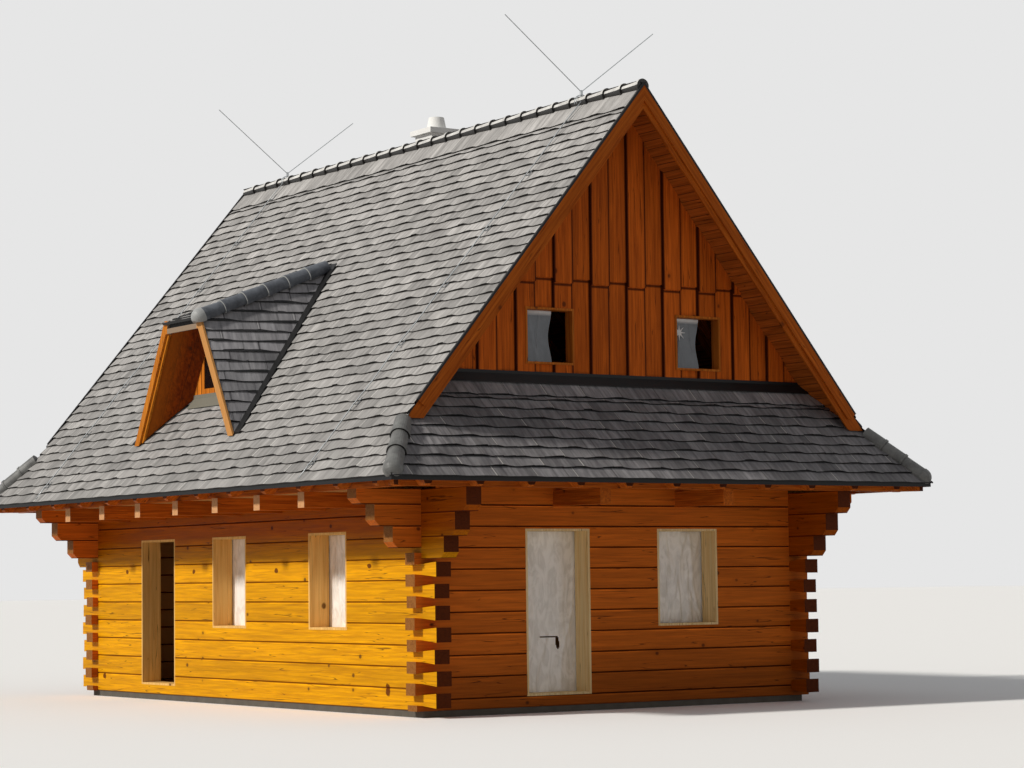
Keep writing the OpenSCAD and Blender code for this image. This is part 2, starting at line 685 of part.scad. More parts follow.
// Bargeboards in two layers. The inner boards close the deck's edge down to the pent roof, and the
// outer ones on them end higher up with a rounded corner.
barge_round = barge_w * 0.4;
module outer_barge() {
    low = -verge_strip - barge_w;
    translate([barge_foot + barge_round, low]) square([slope_l, barge_w]);
    translate([barge_foot, low + barge_round]) square([barge_round, barge_w - barge_round]);
    translate([barge_foot + barge_round, low + barge_round]) circle(barge_round);
}
module bargeboards() color("#c3641e") {
    on_verge(verge_x, verge_x + barge_t) outer_barge();
    difference() {
        on_verge(verge_x - barge_t, verge_x)
            translate([0, -tile_t - barge_inner_w]) square([2 * slope_l, barge_inner_w]);
        below_skirts(-verge_lip);
    }
}

// Dormer. Its roof is the trapezium of its front, drawn back along the pitch of its top.
dormer_z = roof_z(dormer_y);
dormer_side = (dormer_foot - dormer_top) / 2;
dormer_back = -(ridge_z - dormer_z - dormer_h - dormer_y * tan(dormer_pitch)) / (tan(pitch) - tan(dormer_pitch));
dormer_hc = dormer_h * cos(dormer_pitch);
dormer_k = dormer_side / dormer_hc;
module dormer_prism(inset) {
    grow = inset * sqrt(1 + dormer_k * dormer_k);
    low = -dormer_hc;
    half_low = dormer_foot / 2 + dormer_hc * dormer_k - grow;
    top = dormer_hc - inset;
    half_top = dormer_foot / 2 - top * dormer_k - grow;
    translate([dormer_x, -dormer_y, dormer_z]) rotate([90 + dormer_pitch, 0, 0])
        linear_extrude(2 * big, center = true)
            polygon([[-half_low, low], [half_low, low], [half_top, top], [-half_top, top]]);
}
module dormer_clip(y0) intersection() {
    above_main(0, far);
    block([-big, y0, 0], [big, 0, far]);
}
// Courses as a saw-toothed outline over a deep body, from course number n0 to course number n1
module saw_outline(n0, n1) polygon([
    for (i = [n0 : n1]) each [[i * tile_show, 0], [(i + 1) * tile_show, -tile_step]],
    [(n1 + 1) * tile_show, -house_w], [n0 * tile_show, -house_w]]);
// One side of the dormer: level courses on the sloping side plane
dormer_turn = atan2(-dormer_side * tan(dormer_pitch), dormer_h);
dormer_slope = atan2(norm([dormer_h, dormer_side * tan(dormer_pitch)]), dormer_side);
module dormer_side_saw() translate([dormer_foot / 2, -dormer_y, dormer_z])
    rotate([0, 0, dormer_turn]) rotate([0, 0, 90]) rotate([dormer_slope, 0, 0]) along_x(2 * big) saw_outline(-4, 20);
module on_dormer_top() translate([0, -dormer_y, dormer_z + dormer_h]) rotate([dormer_pitch, 0, 0]) children();
module dormer_top_saw() on_dormer_top() along_x(2 * big) translate([-dormer_lip, 0]) saw_outline(0, 20);
module dormer_roof() color(tile_grey) {
    difference() {
        intersection() {
            translate([dormer_x, 0, 0]) intersection() {
                dormer_side_saw();
                mirror([1, 0, 0]) dormer_side_saw();
                dormer_top_saw();
            }
            dormer_clip(-dormer_y);
        }
        dormer_prism(dormer_t);
    }
    translate([dormer_x, 0, 0]) on_dormer_top() along_x(dormer_top) polygon([
        [-dormer_lip, 0], [1, -tile_step * (dormer_lip + 1) / tile_show], [1, -tile_t], [-dormer_lip, -tile_t]]);
}
// Outline of the dormer's front, inset from its sides and its top, and reaching down to a height
module front_outline(side, top, low) {
    k = dormer_side / dormer_h;
    foot_half = dormer_foot / 2 - side * sqrt(1 + k * k);
    high = dormer_h - top;
    polygon([[low * k - foot_half, low], [foot_half - low * k, low], [foot_half - high * k, high],
        [high * k - foot_half, high]]);
}
front_low = -300;
cavity = dormer_t / cos(dormer_pitch) + corner_gap;
header_drop = 110;
header_h = 70;
module in_front(y) translate([dormer_x, y - dormer_y, dormer_z]) children();
// Raking boards with a header between them, and a second layer of boards behind them
module dormer_front_boards() color("#d08a30") intersection() {
    union() {
        in_front(-barge_t / 2) along_y(barge_t) {
            difference() {
                front_outline(0, 0, front_low);
                front_outline(dormer_board, -1, 2 * front_low);
            }
            intersection() {
                front_outline(dormer_board - 1, 0, front_low);
                translate([-dormer_foot, dormer_h - header_drop - header_h]) square([2 * dormer_foot, header_h]);
            }
        }
        in_front(barge_t / 2) along_y(barge_t) difference() {
            front_outline(cavity, cavity, front_low);
            front_outline(dormer_board + dormer_strip, dormer_board + dormer_strip, 2 * front_low);
        }
    }
    above_main(0, far);
}
// Splayed lining from the second boards back to the window wall
wall_y = -dormer_y + dormer_depth;
lining_foot = 500;
lining_peak = 60;
module splay(grow) hull() {
    in_front(barge_t + corner_gap + 1) along_y(2)
        front_outline(cavity + lining_t - grow, cavity + lining_t - grow, front_low);
    in_front(dormer_depth - 1) along_y(2) polygon([
        [-dormer_wall_w - lining_foot - grow, front_low], [dormer_wall_w + lining_foot + grow, front_low],
        [lining_peak + grow, dormer_h - lining_peak + grow], [-lining_peak - grow, dormer_h - lining_peak + grow]]);
}
module dormer_lining() color("#a8601e") intersection() {
    difference() {
        splay(lining_t);
        splay(0);
    }
    above_main(0, far);
}
dormer_wall_t = 50;
pane_in = 10;
dormer_sill_z = roof_z(wall_y) + dormer_sill;
module dormer_window_part(y0, y1) block([dormer_x - dormer_win_w / 2, y0, dormer_sill_z],
    [dormer_x + dormer_win_w / 2, y1, dormer_sill_z + dormer_win_h]);
module dormer_wall() color("#d08a30") difference() {
    intersection() {
        dormer_prism(dormer_t);
        block([-big, wall_y, 0], [big, wall_y + dormer_wall_t, far]);
        above_main(0, far);
    }
    dormer_window_part(wall_y - 1, wall_y + dormer_wall_t + 1);
}
module dormer_window() color(metal_black) dormer_window_part(wall_y + pane_in, wall_y + dormer_wall_t - pane_in);
// Caps on the right hip of the dormer, from a dome over its front to the main slope
cap_lead = 20;
cap_sink = 30;
module dormer_caps() color(cap_grey) difference() {
    translate([dormer_x + dormer_top / 2, -dormer_y - cap_lead, dormer_z + dormer_h - cap_sink])
        rotate([0, 0, 90]) rotate([0, -dormer_pitch, 0]) {
            cap_row((dormer_y + dormer_back) / cos(dormer_pitch) - rafter_gap);
            cap_dome();
        }
    dormer_prism(0);
    below_main(0, far);
}
// Black strips on the tiles beside the dormer, and an apron at the foot of its window wall
valley_w = 130;
apron_w = 110;
apron_up = 60;
module dormer_valleys() color(metal_black) {
    difference() {
        intersection() {
            difference() { dormer_prism(-valley_w); dormer_prism(0); }
            on_slope() block([-big, 0, 0], [big, slope_l, flash_t]);
            dormer_clip(-dormer_y);
        }
        block([-big, -big, roof_z(dormer_back)], [big, big, far]);
    }
    translate([dormer_x, 0, 0]) along_x(2 * (dormer_wall_w - rafter_gap)) polygon([
        [wall_y - apron_w, roof_z(wall_y - apron_w)], [wall_y, roof_z(wall_y)], [wall_y, roof_z(wall_y) + apron_up],
        [wall_y - flash_t, roof_z(wall_y) + apron_up], [wall_y - flash_t, roof_z(wall_y) + flash_t],
        [wall_y - apron_w, roof_z(wall_y - apron_w) + 2 * flash_t]]);
}

// Chimney, from the ground through the back slope, with a cap slab and a tapered pot
module chimney_hole(gap = 0) translate([chimney_x - chimney_w / 2 - gap, chimney_y - chimney_w / 2 - gap, -1])
    cube([chimney_w + 2 * gap, chimney_w + 2 * gap, far]);
module chimney_stack() color(white)
    translate([chimney_x - chimney_w / 2, chimney_y - chimney_w / 2, 0])
        cube([chimney_w, chimney_w, ridge_z + chimney_up]);
module chimney_cap() color(white) translate([chimney_x, chimney_y, ridge_z + chimney_up]) {
    side = chimney_w + 2 * cap_slab_out;
    translate([-side / 2, -side / 2, 0]) cube([side, side, cap_slab_t]);
    translate([0, 0, cap_slab_t]) difference() {
        cylinder(h = pot_h, r1 = pot_r, r2 = pot_rim);
        translate([0, 0, pot_wall]) cylinder(h = pot_h, r = pot_rim - pot_wall);
    }
}

// Lightning rods in pairs, each pair in a socket that is saddled on the ridge caps
saddle_in = 2;
module lightning_rods() color(cap_grey) difference() {
    for (s = [-1, 1]) translate([s * rod_x, 0, ridge_z + cap_r / 2 - taper - saddle_in]) {
        cylinder(h = socket_h + taper, d = socket_d);
        for (lean = [-rod_lean, rod_lean]) translate([0, 0, socket_h - taper]) rotate([lean, 0, 0])
            cylinder(h = rod_l, d = rod_d);
    }
    ridge_caps();
}

foundation();
ground_floor();
front_logs(true);  // front_logs_odd
front_logs(false);  // front_logs_even
back_logs(true);  // back_logs_odd
back_logs(false);  // back_logs_even
right_logs(true);  // right_logs_odd
right_logs(false);  // right_logs_even
left_logs(true);  // left_logs_odd
left_logs(false);  // left_logs_even
door_linings();
window_linings();
wall_films();
ceiling_joists();
outrigger_beams();
attic_floor();
long_eave_plates();
gable_eave_plates();
front_rafters();
back_rafters();
skirt_rafters();
front_deck();
back_deck();
skirt_decks();
front_tiles();
back_tiles();
skirt_tiles();
skirt_flashings();
eave_edges();
ridge_caps();
hip_caps();
gable_walls();
attic_linings();
attic_films();
bargeboards();
dormer_roof();
dormer_front_boards();
dormer_lining();
dormer_wall();
dormer_window();
dormer_caps();
dormer_valleys();
chimney_stack();
chimney_cap();
lightning_rods();
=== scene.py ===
import math

import bpy
import numpy as np
from mathutils import Matrix


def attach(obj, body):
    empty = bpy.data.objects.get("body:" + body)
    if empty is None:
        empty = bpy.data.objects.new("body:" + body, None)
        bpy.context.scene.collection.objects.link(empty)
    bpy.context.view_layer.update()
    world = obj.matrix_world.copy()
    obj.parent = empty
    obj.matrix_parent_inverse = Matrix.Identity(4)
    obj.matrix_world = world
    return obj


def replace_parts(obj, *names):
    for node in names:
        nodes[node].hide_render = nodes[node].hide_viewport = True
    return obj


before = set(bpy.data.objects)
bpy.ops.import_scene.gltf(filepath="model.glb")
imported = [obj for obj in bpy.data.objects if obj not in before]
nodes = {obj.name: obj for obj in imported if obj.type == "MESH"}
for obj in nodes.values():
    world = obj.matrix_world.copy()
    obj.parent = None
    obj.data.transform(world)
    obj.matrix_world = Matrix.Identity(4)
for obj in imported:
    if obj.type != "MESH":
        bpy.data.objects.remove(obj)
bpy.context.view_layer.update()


# Camera
# The chalet is seen from near the front right corner of its gable, at eye height and with a long lens.
# The long wall with the dormer runs away to the left, and the boarded gable stands on the right.
camera_at = (31.289, -19.574, 1.625)
camera_yaw = 0.978
camera_pitch = 0.075
camera_roll = -0.012
camera_data = bpy.data.cameras.new("photo_camera")
camera_data.lens = 91.94
camera_data.sensor_width = 36.0
camera_data.clip_end = 600.0
camera = bpy.data.objects.new("photo_camera", camera_data)
camera.location = camera_at
camera.rotation_mode = "QUATERNION"


def camera_axes():
    """Forward turns left from +Y by the yaw and up by the pitch; right and up then turn by the roll."""
    forward = np.array([-math.sin(camera_yaw) * math.cos(camera_pitch),
                        math.cos(camera_yaw) * math.cos(camera_pitch), math.sin(camera_pitch)])
    level = np.array([math.cos(camera_yaw), math.sin(camera_yaw), 0.0])
    upward = np.cross(level, forward)
    right = level * math.cos(camera_roll) + upward * math.sin(camera_roll)
    up = upward * math.cos(camera_roll) - level * math.sin(camera_roll)
    return np.array([right, up, -forward]).T


camera.rotation_quaternion = Matrix(camera_axes().tolist()).to_quaternion()
bpy.context.scene.collection.objects.link(camera)
bpy.context.scene.camera = camera
bpy.context.scene.view_settings.view_transform = "Standard"


# Sunlight, sky and floor
# A softened sun stands before the long wall and a little to its left, so the gable lies in shade.
# The sky and the floor are plain and pale where they are seen. Less light than that comes up off the floor.
to_the_sun = (-0.134, -0.789, 0.600)
sun_strength = 3.0
sun_softness = math.radians(5)
sky_strength = 0.27
floor_reach = 250.0


def colour(code):
    """An sRGB hex colour as linear red, green, blue and alpha."""
    parts = np.array([int(code[i:i + 2], 16) for i in (1, 3, 5)]) / 255
    linear = np.where(parts <= 0.04045, parts / 12.92, ((parts + 0.055) / 1.055) ** 2.4)
    return (*linear.tolist(), 1.0)


def add(owner, kind, inputs=(), **settings):
    """Add a shader node with its settings. The inputs have names, or stand in the order of the sockets in
    use. Each is a value, a colour code, a socket, or a node, which gives its first output in use. A mix is
    always one of colours."""
    node = owner.node_tree.nodes.new("ShaderNode" + kind)
    if kind == "Mix":
        node.data_type = "RGBA"
    for name, value in settings.items():
        setattr(node, name, value)
    if isinstance(inputs, dict):
        pairs = [(node.inputs[name], value) for name, value in inputs.items()]
    else:
        pairs = zip([socket for socket in node.inputs if socket.enabled], inputs)
    for socket, value in pairs:
        if isinstance(value, bpy.types.Node):
            value = next(output for output in value.outputs if output.enabled)
        if isinstance(value, bpy.types.NodeSocket):
            owner.node_tree.links.new(value, socket)
        else:
            socket.default_value = colour(value) if isinstance(value, str) else value
    return node


def material(name, **values):
    """A material of one Principled shader. The values are for its sockets, by their names in lower case."""
    made = bpy.data.materials.new(name)
    made.use_nodes = True
    for socket in made.node_tree.nodes["Principled BSDF"].inputs:
        plain = socket.name.lower().replace(" ", "_")
        if plain in values:
            socket.default_value = values.pop(plain)
    assert not values
    return made


def feed(made, **sources):
    """Lead nodes or sockets into a material's Principled shader, by its sockets' names in lower case."""
    for socket in made.node_tree.nodes["Principled BSDF"].inputs:
        source = sources.pop(socket.name.lower().replace(" ", "_"), None)
        if isinstance(source, bpy.types.Node):
            source = next(output for output in source.outputs if output.enabled)
        if source:
            made.node_tree.links.new(source, socket)
    assert not sources


sun_data = bpy.data.lights.new("sun", "SUN")
sun_data.energy = sun_strength
sun_data.angle = sun_softness
sun_data.color = colour("#fffaf2")[:3]
sun = bpy.data.objects.new("sun", sun_data)
sun.rotation_mode = "QUATERNION"
across_sun = np.cross((0.0, 0.0, 1.0), to_the_sun)
across_sun /= np.linalg.norm(across_sun)
sun_axes = np.array([across_sun, np.cross(to_the_sun, across_sun), to_the_sun]).T
sun.rotation_quaternion = Matrix(sun_axes.tolist()).to_quaternion()
bpy.context.scene.collection.objects.link(sun)

world = bpy.data.worlds.new("pale_sky")
world.use_nodes = True
bpy.context.scene.world = world
sky_light = world.node_tree.nodes["Background"]
sky_light.inputs["Color"].default_value = colour("#fbfcff")
sky_light.inputs["Strength"].default_value = sky_strength


def seen(owner):
    """One for a ray from the camera, off a mirror or through glass, and nothing for scattered light."""
    path = add(owner, "LightPath")
    camera_ray, mirror_ray, glass_ray = [path.outputs[name] for name in (
        "Is Camera Ray", "Is Glossy Ray", "Is Transmission Ray")]
    plainly = add(owner, "Math", (camera_ray, mirror_ray), operation="MAXIMUM")
    return add(owner, "Math", (plainly, glass_ray), operation="MAXIMUM")


sky_seen = add(world, "Background", {"Color": "#e6e6e6", "Strength": 1.0})
both_skies = add(world, "MixShader", (seen(world), sky_light, sky_seen))
world.node_tree.links.new(both_skies.outputs[0], world.node_tree.nodes["World Output"].inputs["Surface"])

floor_mesh = bpy.data.meshes.new("studio_floor")
floor_corners = np.array([[-1, -1, 0], [1, -1, 0], [1, 1, 0], [-1, 1, 0]]) * floor_reach
floor_mesh.from_pydata(floor_corners.tolist(), [], [[0, 1, 2, 3]])
floor = bpy.data.objects.new("studio_floor", floor_mesh)
floor_white = material("plain_floor_paint", roughness=0.9)
feed(floor_white, base_color=add(floor_white, "Mix", (seen(floor_white), "#c2bcb6", "#f9f9f8")))
floor_mesh.materials.append(floor_white)
bpy.context.scene.collection.objects.link(floor)


# Foundation
# A low strip of poured concrete carries the logs and stands a little back from their faces.
# It was cast against rough boards, so it is matt, mottled by the hand's breadth and pitted like grit.
mottle_mm = 200
pit_mm = 11
pit_deep = 0.004


def place_in(made, fold=False):
    """The place in metres, or with a fold the same place for both halves of the house."""
    place = add(made, "TexCoord").outputs["Object"]
    return add(made, "VectorMath", (place,), operation="ABSOLUTE") if fold else place


# The concrete looks dull grey brown, clouded and pitted.
concrete = material("board_cast_concrete", roughness=0.92)
place = place_in(concrete)
mottle = add(concrete, "TexNoise", {"Vector": place, "Scale": 1000 / mottle_mm, "Detail": 6.0,
                                    "Roughness": 0.7})
pits = add(concrete, "TexNoise", {"Vector": place, "Scale": 1000 / pit_mm, "Detail": 2.0})
feed(concrete, base_color=add(concrete, "Mix", (mottle, "#3f3a33", "#6d675d")),
     normal=add(concrete, "Bump", {"Height": pits, "Strength": 0.4, "Distance": pit_deep}))


def dress(node, made):
    """Give a CAD node one material on all its faces."""
    mesh = nodes[node].data
    mesh.materials.clear()
    mesh.materials.append(made)


dress("foundation", concrete)


# Log walls
# Squared spruce logs lie on each other and cross at the corners, and a clear honey stain covers them.
# Their sawn faces show long streaks, knots and drying cracks, and their ends show the rings.
house_half_l = 4.64
house_half_w = 2.96
log_thick = 0.21
course = 0.26
tall_course = 0.285
wall_foot = 0.08
tall_from = wall_foot + 8 * course
shade_line = 1.93
# Small notches and pegs in the front logs, painted as dark marks of shade: along, up, half width, half
# height.
front_marks = ((-4.19, 0.30, 0.055, 0.045), (3.84, 0.315, 0.05, 0.07), (-3.44, 1.815, 0.04, 0.03),
               (-1.32, 1.80, 0.045, 0.03), (1.04, 1.79, 0.045, 0.03), (3.42, 1.825, 0.05, 0.03))
crack_mm = (1110, 41.7)
# Fibres and rings are drawn many times as coarse as real ones, which would not show in the render.
fibre_mm = (111, 4.76)
drawn_ring_mm = 14.28
ray_mm = 35.7
ragged_mm = 62.5


def wood(name, pale, deep, axes, count=None, line=0.03, tone=0.16, fold=False, roughness=0.5, knot_mm=303,
         streak_mm=(770, 33.3), joint="#3a1c0a", lip=0.0):
    """Stained softwood. Metres along and across the grain are dot products of the place with three axes.
    Streaks are noise drawn out along the grain, knots are the cores of some cells, and cracks are where
    a drawn out noise crosses its middle. Count gives the running number of boards, whose whole part
    shifts the pattern and the tone from board to board, and whose fraction darkens their joints. The lip
    is how much paler the edge below a joint is, in patches, as a painted highlight of the light on it."""
    made = material(name, roughness=roughness, specular_ior_level=0.06)
    place = place_in(made, fold)
    grain = add(made, "CombineXYZ", [add(made, "VectorMath", (place, axis), operation="DOT_PRODUCT")
                                     for axis in axes])
    running = count(made, place) if count else 0.0
    number = add(made, "Math", (running,), operation="FLOOR")
    chance = add(made, "TexWhiteNoise", (number,), noise_dimensions="1D")
    shift = add(made, "VectorMath", (chance.outputs["Color"], 40.0), operation="SCALE")

    def drawn_out(long_mm, wide_mm):
        per_metre = (1000 / long_mm, 1000 / wide_mm, 1000 / wide_mm)
        return add(made, "VectorMath", (grain, per_metre, shift), operation="MULTIPLY_ADD")

    drawn = drawn_out(*streak_mm)
    streak = add(made, "TexNoise", {"Vector": drawn, "Scale": 1.0, "Detail": 4.0, "Roughness": 0.62,
                                    "Distortion": 0.5})
    fibre = add(made, "TexNoise", {"Vector": drawn_out(*fibre_mm), "Scale": 1.0, "Detail": 2.0})
    cloud = add(made, "TexNoise", {"Vector": drawn, "Scale": 0.45, "Detail": 2.0})
    spread = add(made, "MapRange", (streak, 0.34, 0.66))
    paint = add(made, "Mix", (spread, deep, pale))

    cell = add(made, "TexVoronoi", {"Vector": drawn_out(1.25 * knot_mm, knot_mm), "Scale": 1.0})
    kept = add(made, "Math", (cell.outputs["Color"], 0.42), operation="GREATER_THAN")
    core = add(made, "MapRange", (cell, 0.105, 0.06, 0.0, 0.8))
    halo = add(made, "MapRange", (cell, 0.24, 0.08, 0.0, 0.45))
    knot = add(made, "Math", (core, kept), operation="MULTIPLY")
    swirl = add(made, "Math", (halo, kept), operation="MULTIPLY")

    split = add(made, "TexNoise", {"Vector": drawn_out(*crack_mm), "Scale": 0.8, "Detail": 1.0})
    off_middle = add(made, "Math", (split, 0.5), operation="SUBTRACT")
    nearness = add(made, "Math", (off_middle,), operation="ABSOLUTE")
    crack_line = add(made, "MapRange", (nearness, 0.012, 0.004, 0.0, 0.7))
    crack_zone = add(made, "MapRange", (cloud, 0.48, 0.57))
    crack = add(made, "Math", (crack_line, crack_zone), operation="MULTIPLY")

    level = add(made, "MapRange", (chance, 0.0, 1.0, 1.0 - tone, 1.0 + tone))
    patch = add(made, "MapRange", (cloud, 0.3, 0.7, 0.9, 1.1))
    fraction = add(made, "Math", (running,), operation="FRACT")
    # Painted highlight: the edge below each joint is paler, in patches, as where it catches the light.
    near_top = add(made, "MapRange", (fraction, 0.88, 0.95, 0.0, lip))
    edge_highlight = add(made, "Math", (near_top, spread, 1.0), operation="MULTIPLY_ADD")
    both = add(made, "Math", (level, patch), operation="MULTIPLY")
    light = add(made, "Math", (both, edge_highlight), operation="MULTIPLY")
    toned = add(made, "VectorMath", (paint, light), operation="SCALE")
    swirled = add(made, "Mix", (swirl, toned, deep))
    knotted = add(made, "Mix", (knot, swirled, "#4a2410"))
    cracked = add(made, "Mix", (crack, knotted, "#3a1d0c"))
    from_middle = add(made, "Math", (fraction, 0.5), operation="SUBTRACT")
    to_edge = add(made, "Math", (from_middle,), operation="ABSOLUTE")
    edge = add(made, "MapRange", (to_edge, 0.5 - line, 0.5 - 0.3 * line, 0.0, 1.0 if count else 0.0))
    finished = add(made, "Mix", (edge, cracked, joint))

    height = add(made, "Math", (streak, 0.5, fibre), operation="MULTIPLY_ADD")
    sunk = add(made, "Math", (crack, -2.14, height), operation="MULTIPLY_ADD")
    feed(made, base_color=finished,
         normal=add(made, "Bump", {"Height": sunk, "Strength": 0.35, "Distance": 0.0025}),
         roughness=add(made, "MapRange", (streak, 0.0, 1.0, roughness - 0.1, roughness + 0.14)))
    return made


def painted(made):
    """The socket that gives a material its colour so far."""
    return made.node_tree.nodes["Principled BSDF"].inputs["Base Color"].links[0].from_socket


def log_number(start, side):
    """Number of a log in its wall, from its height, with forty more for the wall on the far side."""
    def number(made, place):
        split = add(made, "SeparateXYZ", (place,))
        over = add(made, "Math", (split.outputs["Z"], tall_from), operation="SUBTRACT")
        tall = add(made, "Math", (over, 0.0), operation="MAXIMUM")
        squeeze = (course / tall_course - 1) if side == "Y" else 0.0
        height = add(made, "Math", (tall, squeeze, split.outputs["Z"]), operation="MULTIPLY_ADD")
        above = add(made, "Math", (height, start), operation="SUBTRACT")
        steps = add(made, "Math", (above, course), operation="DIVIDE")
        far_wall = add(made, "Math", (split.outputs[side], 0.0), operation="GREATER_THAN")
        return add(made, "Math", (far_wall, 40.0, steps), operation="MULTIPLY_ADD")
    return number


def with_painted_shade(made):
    """The same stain with painted shade: redder and darker on the logs above the eaves' shade line and on the
    back of the house, and a dark mark with a ragged outline for each small notch and peg in the front logs,
    which are not cut into them."""
    place = place_in(made)
    split = add(made, "SeparateXYZ", (place,))
    # Painted shade: redder and darker above the eaves' shade line and on the back of the house.
    high_up = add(made, "MapRange", (split.outputs["Z"], shade_line - 0.12, shade_line + 0.35))
    behind = add(made, "Math", (split.outputs["Y"], 0.0), operation="GREATER_THAN")
    both = add(made, "Math", (high_up, behind), operation="MAXIMUM")
    red = add(made, "VectorMath", (painted(made), (0.52, 0.25, 0.5)), operation="MULTIPLY")
    paint = add(made, "Mix", (both, painted(made), red))
    on_face = add(made, "Math", (split.outputs["Y"], 0.05 - house_half_w), operation="LESS_THAN")
    ragged = add(made, "TexNoise", {"Vector": place, "Scale": 1000 / ragged_mm, "Detail": 2.0})
    # Painted shade for each small notch and peg, as a dark ragged mark.
    for at_x, at_z, half_wide, half_high in front_marks:
        off = add(made, "VectorMath", (place, (at_x, 0.0, at_z)), operation="SUBTRACT")
        share = add(made, "VectorMath", (off, (1 / half_wide, 0.0, 1 / half_high)), operation="MULTIPLY")
        size = add(made, "VectorMath", (share,), operation="LENGTH")
        edge = add(made, "Math", (ragged, 1.2, size), operation="MULTIPLY_ADD")
        mark = add(made, "MapRange", (edge, 1.7, 1.5, 0.0, 0.9))
        kept = add(made, "Math", (mark, on_face), operation="MULTIPLY")
        paint = add(made, "Mix", (kept, paint, "#5a2206"))
    feed(made, base_color=paint)
    return made


def darker_low(made):
    """The same stain, but darker towards the bottom, on the lowest logs up to about the windows' sills."""
    height = add(made, "SeparateXYZ", (place_in(made),)).outputs["Z"]
    by_height = add(made, "MapRange", (height, 0.35, 1.25, 0.68, 1.0))
    feed(made, base_color=add(made, "VectorMath", (painted(made), by_height), operation="SCALE"))
    return made


def end_grain(made, axis, middle, sapwood, heartwood, inside=None, fold=False):
    """Rings on the faces across the grain: a wave of the distance from the pith, which lies near the
    middle of the log's thickness. The wave turns by 20 times its scale in a metre. Real rings are 3 mm
    wide, and these are drawn as wide as a pixel of the picture, so that they show. Faces inside the house
    can have a paler colour, as no stain is on them."""
    normal = add(made, "TexCoord").outputs["Normal"]
    facing = add(made, "VectorMath", (normal, axis), operation="DOT_PRODUCT")
    square = add(made, "Math", (facing, facing), operation="MULTIPLY")
    is_end = add(made, "Math", (square, 0.6), operation="GREATER_THAN")
    split = add(made, "SeparateXYZ", (place_in(made),))
    far_x = add(made, "Math", (split.outputs["X"],), operation="ABSOLUTE")
    far_y = add(made, "Math", (split.outputs["Y"],), operation="ABSOLUTE")
    off_pith = add(made, "Math", (far_x if axis[1] else far_y, middle), operation="SUBTRACT")
    level = add(made, "Math", (split.outputs["Z"], course), operation="DIVIDE")
    rise = add(made, "Math", (level,), operation="FRACT")
    height = add(made, "Math", (rise, 0.5), operation="SUBTRACT")
    spread = add(made, "CombineXYZ", (off_pith, add(made, "Math", (height, course), operation="MULTIPLY")))
    rings = add(made, "TexWave", {"Vector": spread, "Scale": 2000 * math.pi / 20 / drawn_ring_mm,
                                  "Distortion": 3.0, "Detail": 2.0, "Detail Scale": 1.5},
                wave_type="RINGS", rings_direction="SPHERICAL")
    rays = add(made, "TexNoise", {"Vector": place_in(made, fold), "Scale": 1000 / ray_mm, "Detail": 4.0})
    ring_paint = add(made, "Mix", (rings, heartwood, sapwood))
    grey = add(made, "MapRange", (rays, 0.45, 0.7, 0.0, 0.6))
    weathered = add(made, "Mix", (grey, ring_paint, heartwood))
    paint = add(made, "Mix", (is_end, painted(made), weathered))
    if inside:
        past_x = add(made, "Math", (far_x, house_half_l - log_thick), operation="SUBTRACT")
        past_y = add(made, "Math", (far_y, house_half_w - log_thick), operation="SUBTRACT")
        past = add(made, "Math", (past_x, past_y), operation="MAXIMUM")
        is_inside = add(made, "Math", (past, 0.003), operation="LESS_THAN")
        bare = add(made, "Mix", (0.85, painted(made), inside))
        paint = add(made, "Mix", (is_inside, paint, bare))
    feed(made, base_color=paint)
    return made


# The long walls look golden and the gable walls redder, each log in a tone of its own, with dark ends.
# The gable logs' stain is the same stain painted redder and darker, as shade, and the long logs' ends
# are painted darkest, as shade.
bare_spruce = "#e2b981"
long_log_stain_light_and_shade = end_grain(
    with_painted_shade(wood("honey_stained_spruce_long_logs", "#eaa60a", "#c68608", ((1, 0, 0), (0, 0, 1), (0, 1, 0)),
                log_number(wall_foot, "Y"), line=0.045, tone=0.1, joint="#7a450c", lip=0.4)),
    (1, 0, 0), house_half_w - log_thick / 2, "#642c0c", "#431a05", bare_spruce)
gable_log_stain_light_and_shade = end_grain(
    darker_low(wood("honey_stained_spruce_gable_logs", "#dc7323", "#bc611d", ((0, 1, 0), (0, 0, 1), (1, 0, 0)),
                  log_number(wall_foot - course / 2, "X"), line=0.05, tone=0.14, joint="#4a1f08", lip=0.75)),
    (0, 1, 0), house_half_l - log_thick / 2, "#a8733a", "#74421a", bare_spruce)
for courses in ("odd", "even"):
    dress(f"front_logs_{courses}", long_log_stain_light_and_shade)
    dress(f"back_logs_{courses}", long_log_stain_light_and_shade)
    dress(f"right_logs_{courses}", gable_log_stain_light_and_shade)
    dress(f"left_logs_{courses}", gable_log_stain_light_and_shade)


# Floor, joists, beams, plates and rafters
# The frame is of sawn spruce beams in the same stain as the logs, painted redder and darker as shade,
# and the floors are of pale boards.
# Each beam lies in pockets of the top logs, and the rafters' feet are notched over the eave plates.
pitch = math.radians(50.3)
skirt_pitch = math.radians(46.1)
up_main = (0.0, -math.cos(pitch), math.sin(pitch))
up_skirt = (-math.cos(skirt_pitch), 0.0, math.sin(skirt_pitch))
level_x = (1.0, 0.0, 0.0)
level_y = (0.0, 1.0, 0.0)
plumb = (0.0, 0.0, 1.0)


def boards_along(direction, start, width):
    """Number of a board in a row of boards, from the place along the direction across them."""
    def number(made, place):
        reach = add(made, "VectorMath", (place, direction), operation="DOT_PRODUCT")
        past = add(made, "Math", (reach, start), operation="SUBTRACT")
        return add(made, "Math", (past, width), operation="DIVIDE")
    return number


def beam(name, along, across, start, apart, fold=False):
    """Stained timber whose grain runs along one direction, with its own tone for each beam in the row."""
    third = tuple(np.cross(along, across).tolist())
    # The red brown is the logs' stain painted redder and darker, as shade.
    return wood(name, "#cf6f22", "#9c4b14", (along, across, third), boards_along(across, start, apart),
                line=0.0, tone=0.14, streak_mm=(625, 26.3), knot_mm=238, fold=fold)
